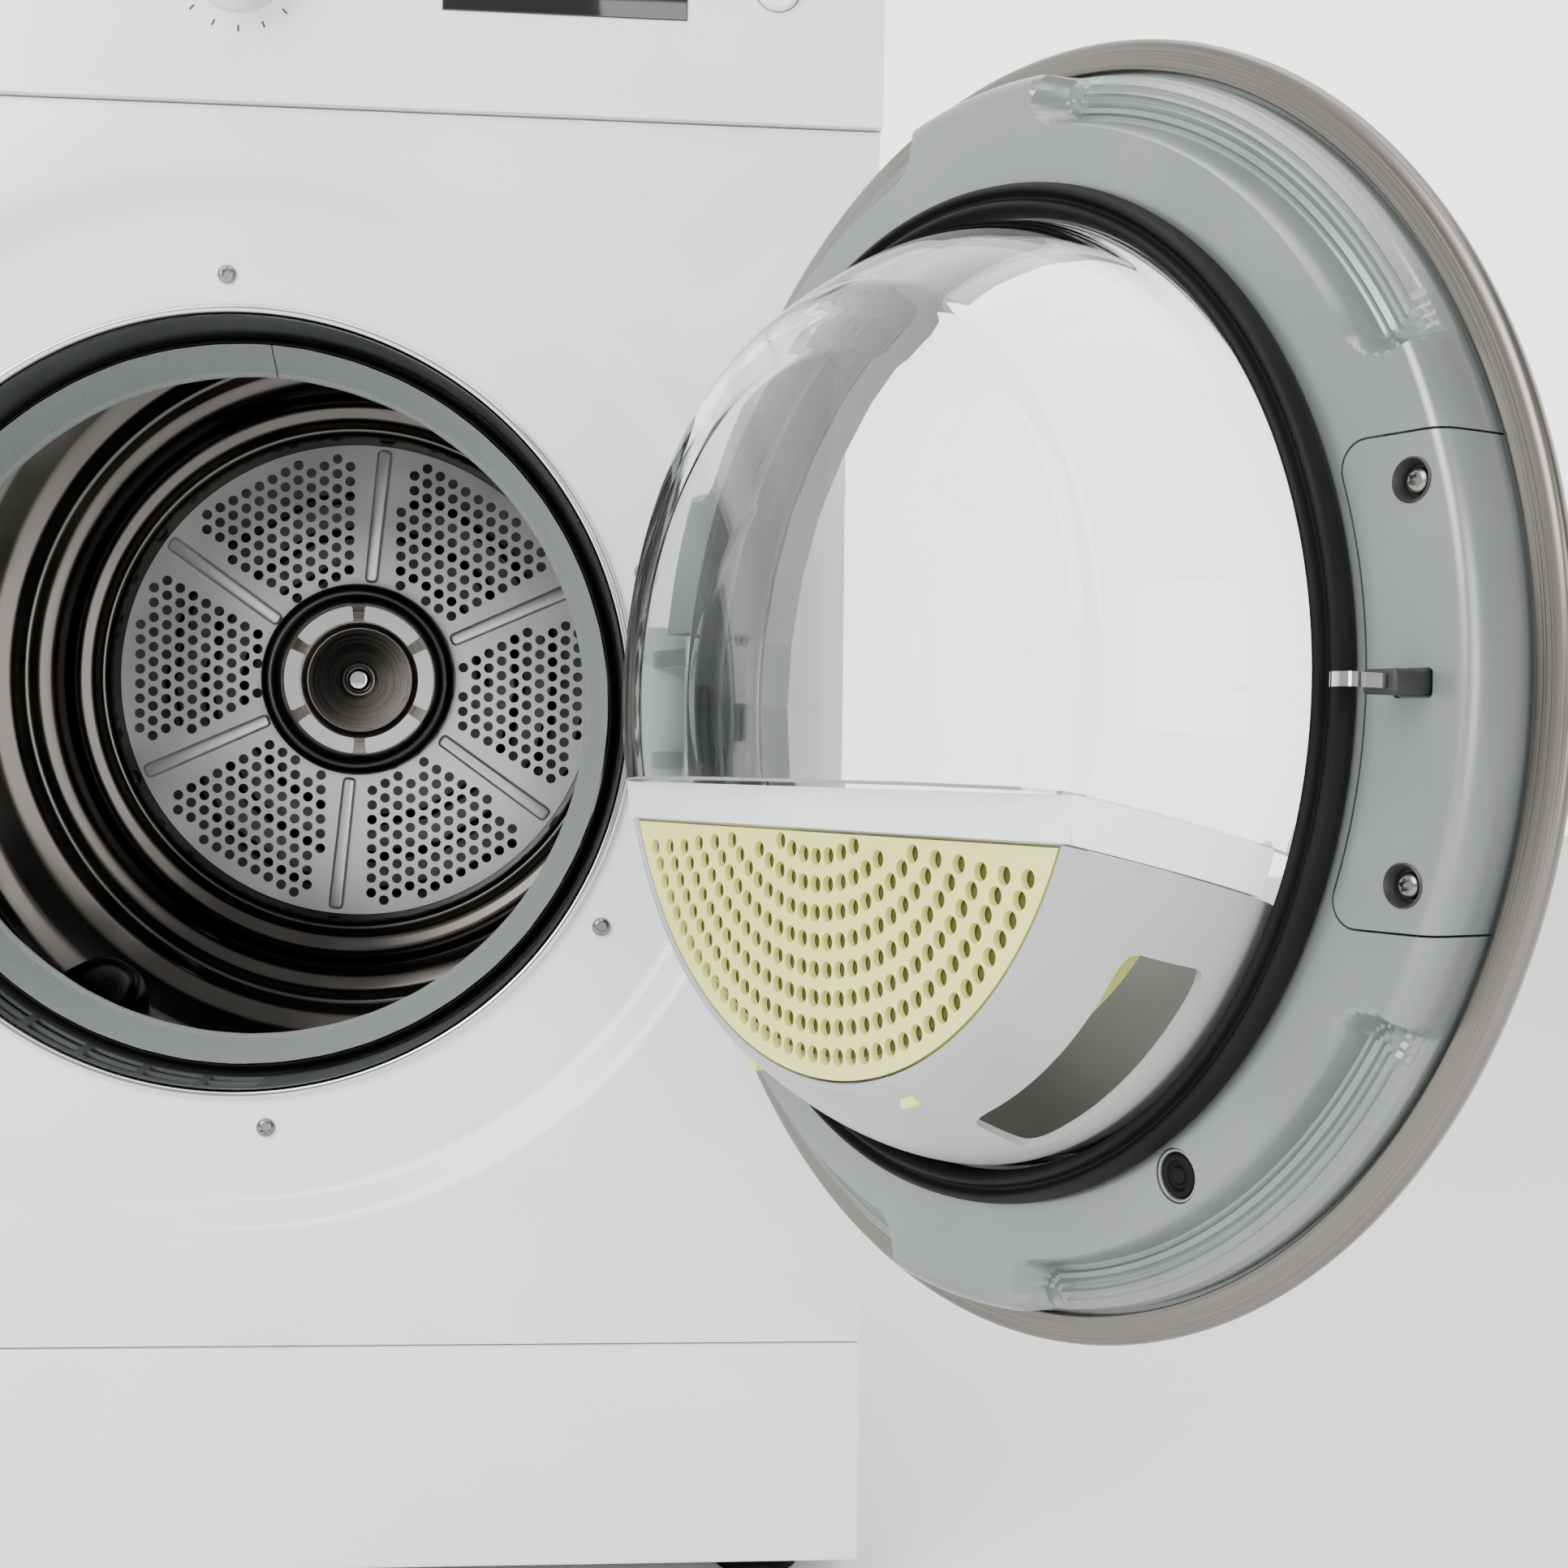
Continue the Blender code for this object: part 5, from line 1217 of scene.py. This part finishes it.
@dataclass
class LintFilter:
    """The lift-out filter: a white handle, a punched yellow front, a yellow skirt and gauze."""

    place: Matrix
    bowl: Bowl = field(default_factory=Bowl)
    slope: Slope = field(default_factory=Slope)
    radius: float = 131.7 * MM
    hole: float = 3.1 * MM
    rows: int = 9
    outer_row: float = 123.9 * MM
    row_step: float = 9.7 * MM
    spacing: float = 7.5 * MM

    def build(self) -> None:
        """Makes the filter's pieces."""
        bowl, deep = self.bowl, self.bowl.depth
        outline = [mm(165.5, -6), *bowl.side(-0.6 * MM, 8 * MM, 54 * MM)]
        outline += [(bowl.radius(deep) + 0.2 * MM, -deep), (bowl.radius(deep) - 1.5 * MM, -deep - 1.4 * MM)]
        outline += [(118 * MM, -deep - 1.4 * MM), (118 * MM, -deep + 3.5 * MM)]
        outline += [*reversed(bowl.side(3.5 * MM, 8 * MM, 53.0 * MM)), mm(162, -6)]
        band = turned("handle_band", rounded(outline, 0.8 * MM, True, 4), 240)
        bar = block("bar", mm(-129, -80, -58.41), (129 * MM, 0, -51 * MM), 0.2 * MM)
        combine(band, bar, "UNION")
        sliced(band, self.slope.point(0), self.slope.normal(True))
        sliced(band, self.slope.point(-self.slope.height), self.slope.normal(False))
        settle(band, self.place, PEARL, "lint_filter", ["filter_handle"], 28)
        edge = self.slope.top - self.slope.height - 1.2 * MM
        start = math.degrees(math.asin(edge / self.radius))
        loop = arc(self.radius, start, -180 - start, 90)
        spots = []
        for row in range(self.rows):
            reach = self.outer_row - row * self.row_step
            count = round(2 * math.pi * reach / self.spacing)
            for x, y in arc(reach, -90, 270, count + 1)[:-1]:
                if y < edge - 0.5 * MM - self.hole:
                    spots.append((x, y))
        plate = Punch("filter_front", self.hole, 2.4 * MM, 18).run([loop], spots, YELLOW)
        plate.data.transform(Matrix.Translation((0, 0, -deep)))
        settle(plate, self.place, YELLOW, "lint_filter", ["filter_plate"])
        gauze = prism("filter_gauze", arc(124.5 * MM, start - 2, -178 - start, 60), -54.2 * MM, -53.9 * MM)
        settle(gauze, self.place, GAUZE, "lint_filter")
        skirt = [(127.5, -53.5), (127.5, -4.0), (126.0, -2.5), (131.0, -2.5), (129.8, -4.5), (129.8, -53.5)]
        piece = lathe("filter_skirt", skirt, 0.5, 200)
        depth_top = self.slope.top - self.slope.height - self.slope.drop
        sliced(piece, (0, depth_top, 0), (0, 1, 0))
        settle(piece, self.place, YELLOW, "lint_filter", ["filter_screen"])


# ---------------------------------------------------------------- the rest of the machine
@dataclass
class Controls:
    """The fascia's knob, keys, window and the ticks of the knob's scale."""

    def build(self) -> None:
        """Makes the knob and the keys in place of their solids, and adds the window."""
        low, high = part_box("control_fascia")
        middle = (low.z + high.z) / 2
        facing = Matrix.Rotation(math.pi / 2, 4, "X")
        place = Matrix.Translation((0, low.y, middle)) @ facing
        outline = [(0, 20.0), (15.0, 20.0), (18.0, 19.0), (20.5, 17.0), (21.8, 2.0), (22.4, 0.6),
                   (5.0, 0.6),
                   (5.0, -11.0), (0, -11.0)]

        def fluted(height: float, angle: float) -> float:
            """Shallow flutes round the knob's skirt."""
            return -0.35 * MM * (0.5 + 0.5 * math.cos(36 * angle)) if 3 * MM < height < 18 * MM else 0.0

        knob = lathe("selector_knob", outline, 1, 288, wave=fluted)
        settle(knob, place, CHROME, "knob", ["program_knob"])
        mark = block("knob_mark", mm(-0.6, 9, 19.4), mm(0.6, 16, 20.25), 0.2 * MM)
        settle(mark, place, SOOT, "knob")
        key = [(0, 3.2), (6.5, 3.5), (9.4, 3.2), (10.5, 2.0), (10.5, -3.6), (13.0, -3.6), (13.0, -5.6),
               (0, -5.6)]
        for node, body in (("power_button", "power_key"), ("start_button", "start_key")):
            corner_low, corner_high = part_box(node)
            spot = Matrix.Translation(((corner_low.x + corner_high.x) / 2, low.y, middle)) @ facing
            piece = lathe(f"{node}_cap", key, 0.6, 64)
            settle(piece, spot, PEARL, body, [node])
        window = block("display_pane", mm(92, -17, -0.6), mm(205, 17, 0.9), 0.5 * MM)
        settle(window, place, SMOKED, "cabinet")
        tick = block("tick", (28 * MM, -0.45 * MM, 0.0), mm(31, 0.45, 0.25), 0.1 * MM)
        count = 16
        turns = [2 * math.pi * i / count for i in range(count)]
        ticks = Repeater("knob_scale").run(tick, [(0, 0, 0)] * count, CHARCOAL, turns)
        settle(ticks, place, CHARCOAL, "cabinet")


@dataclass
class Casing:
    """The casing's screws, louvres and feet, and the finishes of the solids that stay."""

    def build(self) -> None:
        """Dresses the solids that keep their shape and adds the small pieces on them."""
        for node, finish in KEPT_SOLIDS.items():
            solid = frame["nodes"][node]
            solid.data.materials.clear()
            solid.data.materials.append(finish.material())
        low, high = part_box("back_panel")
        away = Matrix.Rotation(-math.pi / 2, 4, "X")
        place = Matrix.Translation((0, high.y, 0)) @ away
        spots = []
        for x in (low.x + 9 * MM, high.x - 9 * MM):
            spots += [(x, -(low.z + 20 * MM + (high.z - low.z - 40 * MM) * i / 4),
                       0.1 * MM) for i in range(5)]
        screws = Repeater("back_screws").run(StarScrew(3.8 * MM, 2.0 * MM).build(), spots, CHROME)
        settle(screws, place, CHROME, "cabinet")
        bm = bmesh.new()
        sweep = []
        for k in range(9):
            t = math.pi * k / 8
            sweep.append((2.6 * MM * math.sin(t), -3.5 * MM * math.cos(t)))
        left = [bm.verts.new((-32 * MM, y, h)) for h, y in sweep]
        right = [bm.verts.new((32 * MM, y, h)) for h, y in sweep]
        for k in range(8):
            bm.faces.new((left[k], right[k], right[k + 1], left[k + 1]))
        bm.faces.new(left)
        bm.faces.new(right[::-1])
        bm.faces.new((left[0], left[8], right[8], right[0]))
        louvre = link("louvre", to_mesh("louvre", bm))
        spots = [(x, -(560 + 16 * i) * MM, 0.0) for x in (-90 * MM, 0.0, 90 * MM) for i in range(8)]
        louvres = Repeater("back_louvres").run(louvre, spots, ZINC)
        settle(louvres, place, ZINC, "cabinet")
        for end in ("front", "back"):
            for side in ("left", "right"):
                self.foot(f"foot_{end}_{side}")

    def foot(self, node: str) -> None:
        """One levelling foot with its threaded stud."""
        low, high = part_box(node)
        place = Matrix.Translation(((low.x + high.x) / 2, (low.y + high.y) / 2, 0))
        pad = [(0.0, -12.0), (9.0, -12.0), (17.5, -13.2), (20.4, -16.0), (21.0, -20.0), (0.0, -20.0)]
        piece = lathe(f"{node}_pad", pad, 1, 64)
        settle(piece, place, RUBBER, "cabinet", [node])

        def thread(height: float, angle: float) -> float:
            """The stud's thread."""
            return 0.4 * MM * math.sin(2 * math.pi * height / (1.25 * MM) + angle)

        rows = [(4.6 * MM, (-0.4 - 0.2 * i) * MM) for i in range(57)]
        stud = turned(f"{node}_stud", [(0.0, -0.4 * MM), *rows, (0.0, -11.6 * MM)], 24, wave=thread)
        settle(stud, place, ZINC, "cabinet")


KEPT_SOLIDS = {
    "side_panel_left": ENAMEL, "side_panel_right": ENAMEL, "top_panel": LAMINATE, "plinth": PEARL,
    "control_fascia": PEARL, "back_panel": ZINC, "base_pan": ZINC, "front_bulkhead": ZINC,
    "rear_bulkhead": ZINC, "lint_duct": SOOT, "blower_housing": SOOT, "exhaust_duct": ZINC,
    "heater_duct": ZINC, "heater_coil": DARK_STEEL, "bearing_housing": ZINC, "motor": ZINC,
    "motor_mount": ZINC, "drum_belt": RUBBER, "control_board": BOARD, "hinge_bracket": ZINC,
    "hinge_pin": CHROME, "door_catch": SOOT, "hinge_leaf": ZINC, "door_frame": SILVER,
    "drum_shaft": TURNED_STEEL, "motor_shaft": TURNED_STEEL, "blower_wheel": SOOT,
    "drum_roller_left": RUBBER, "drum_roller_right": RUBBER, "idler_arm": ZINC, "idler_pulley": SOOT,
}


@dataclass
class Studio:
    """The pale floor, the soft lights and the camera."""

    mouth: Vector
    away: tuple[float, float, float] = mm(174.6, -917.4, -25.6)
    yaw: float = 4.5
    pitch: float = -1.1
    roll: float = 0.9
    lens: float = 44.15
    shift: Point = (0.0140, 0.0124)

    def camera(self) -> None:
        """Sets the camera close before the mouth, a little to its right."""
        data = bpy.data.cameras.new("camera")
        data.lens = self.lens
        data.sensor_width = 36.0
        data.shift_x, data.shift_y = self.shift
        camera = bpy.data.objects.new("camera", data)
        bpy.context.scene.collection.objects.link(camera)
        yaw, pitch, roll = (math.radians(a) for a in (self.yaw, self.pitch, self.roll))
        ahead = Vector((math.sin(yaw) * math.cos(pitch), math.cos(yaw) * math.cos(pitch), math.sin(pitch)))
        side = Vector((math.cos(yaw), -math.sin(yaw), 0))
        up = side.cross(ahead)
        right = side * math.cos(roll) + up * math.sin(roll)
        above = up * math.cos(roll) - side * math.sin(roll)
        axes = Matrix((right, above, -ahead)).transposed().to_4x4()
        camera.matrix_world = Matrix.Translation(self.mouth + Vector(self.away)) @ axes
        bpy.context.scene.camera = camera

    def light(self, name: str, spot: Sequence[float], aim: Sequence[float], size: float,
              power: float) -> None:
        """Adds one square soft light.

        Args:
            name: Its name.
            spot: Where it stands.
            aim: What it faces.
            size: Length of its side.
            power: Watts.
        """
        data = bpy.data.lights.new(name, "AREA")
        data.size = size
        data.energy = power
        lamp = bpy.data.objects.new(name, data)
        bpy.context.scene.collection.objects.link(lamp)
        lamp.location = spot
        lamp.rotation_euler = (Vector(aim) - Vector(spot)).to_track_quat("-Z", "Y").to_euler()

    def build(self) -> None:
        """Makes the floor, the sky and the lights."""
        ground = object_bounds()[0][2]
        bm = bmesh.new()
        bmesh.ops.create_grid(bm, x_segments=2, y_segments=2, size=12.0)
        floor = link("floor", to_mesh("floor", bm))
        floor.data.transform(Matrix.Translation((0, 0, ground - 0.2 * MM)))
        pale = Finish("pale floor", "#EFEFEF", 0.6, grain_mm=40, relief_mm=0.02, second="#EDEDED")
        floor.data.materials.append(pale.material())
        floor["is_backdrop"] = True
        world = bpy.data.worlds.new("studio")
        world.use_nodes = True
        sky = world.node_tree.nodes["Background"]
        sky.inputs["Color"].default_value = linear("#F6F7F8")
        coords = add_node(world.node_tree, "ShaderNodeTexCoord")
        ways = add_node(world.node_tree, "ShaderNodeSeparateXYZ", Vector=coords.outputs["Generated"])
        strength = add_node(
            world.node_tree, "ShaderNodeMapRange", Value=ways.outputs["Y"], From_Min=-0.2, From_Max=0.8,
            To_Min=0.62, To_Max=3.3,
        )
        world.node_tree.links.new(strength.outputs["Result"], sky.inputs["Strength"])
        bpy.context.scene.world = world
        aim = tuple(self.mouth)
        self.light("window_light", (-1.5, -2.2, 1.8), aim, 1.8, 100)
        self.light("front_light", (0.9, -2.6, 0.7), aim, 1.2, 22)
        self.light("top_light", (0.2, -0.6, 2.6), aim, 2.0, 38)


def main() -> None:
    """Builds the dryer in order."""
    logging.basicConfig(level=logging.INFO, format="%(name)s: %(message)s")
    at = places()
    studio = Studio(at["mouth"].translation.copy())
    studio.camera()
    for assembly in (
        Front(at["mouth"]), Mouth(at["mouth"]), Drum(at["drum"]), Door(at["door"]), LintFilter(at["door"]),
        Controls(), Casing(),
    ):
        LOG.info("building %s", type(assembly).__name__)
        assembly.build()
    studio.build()


if __name__ == "__main__":
    main()
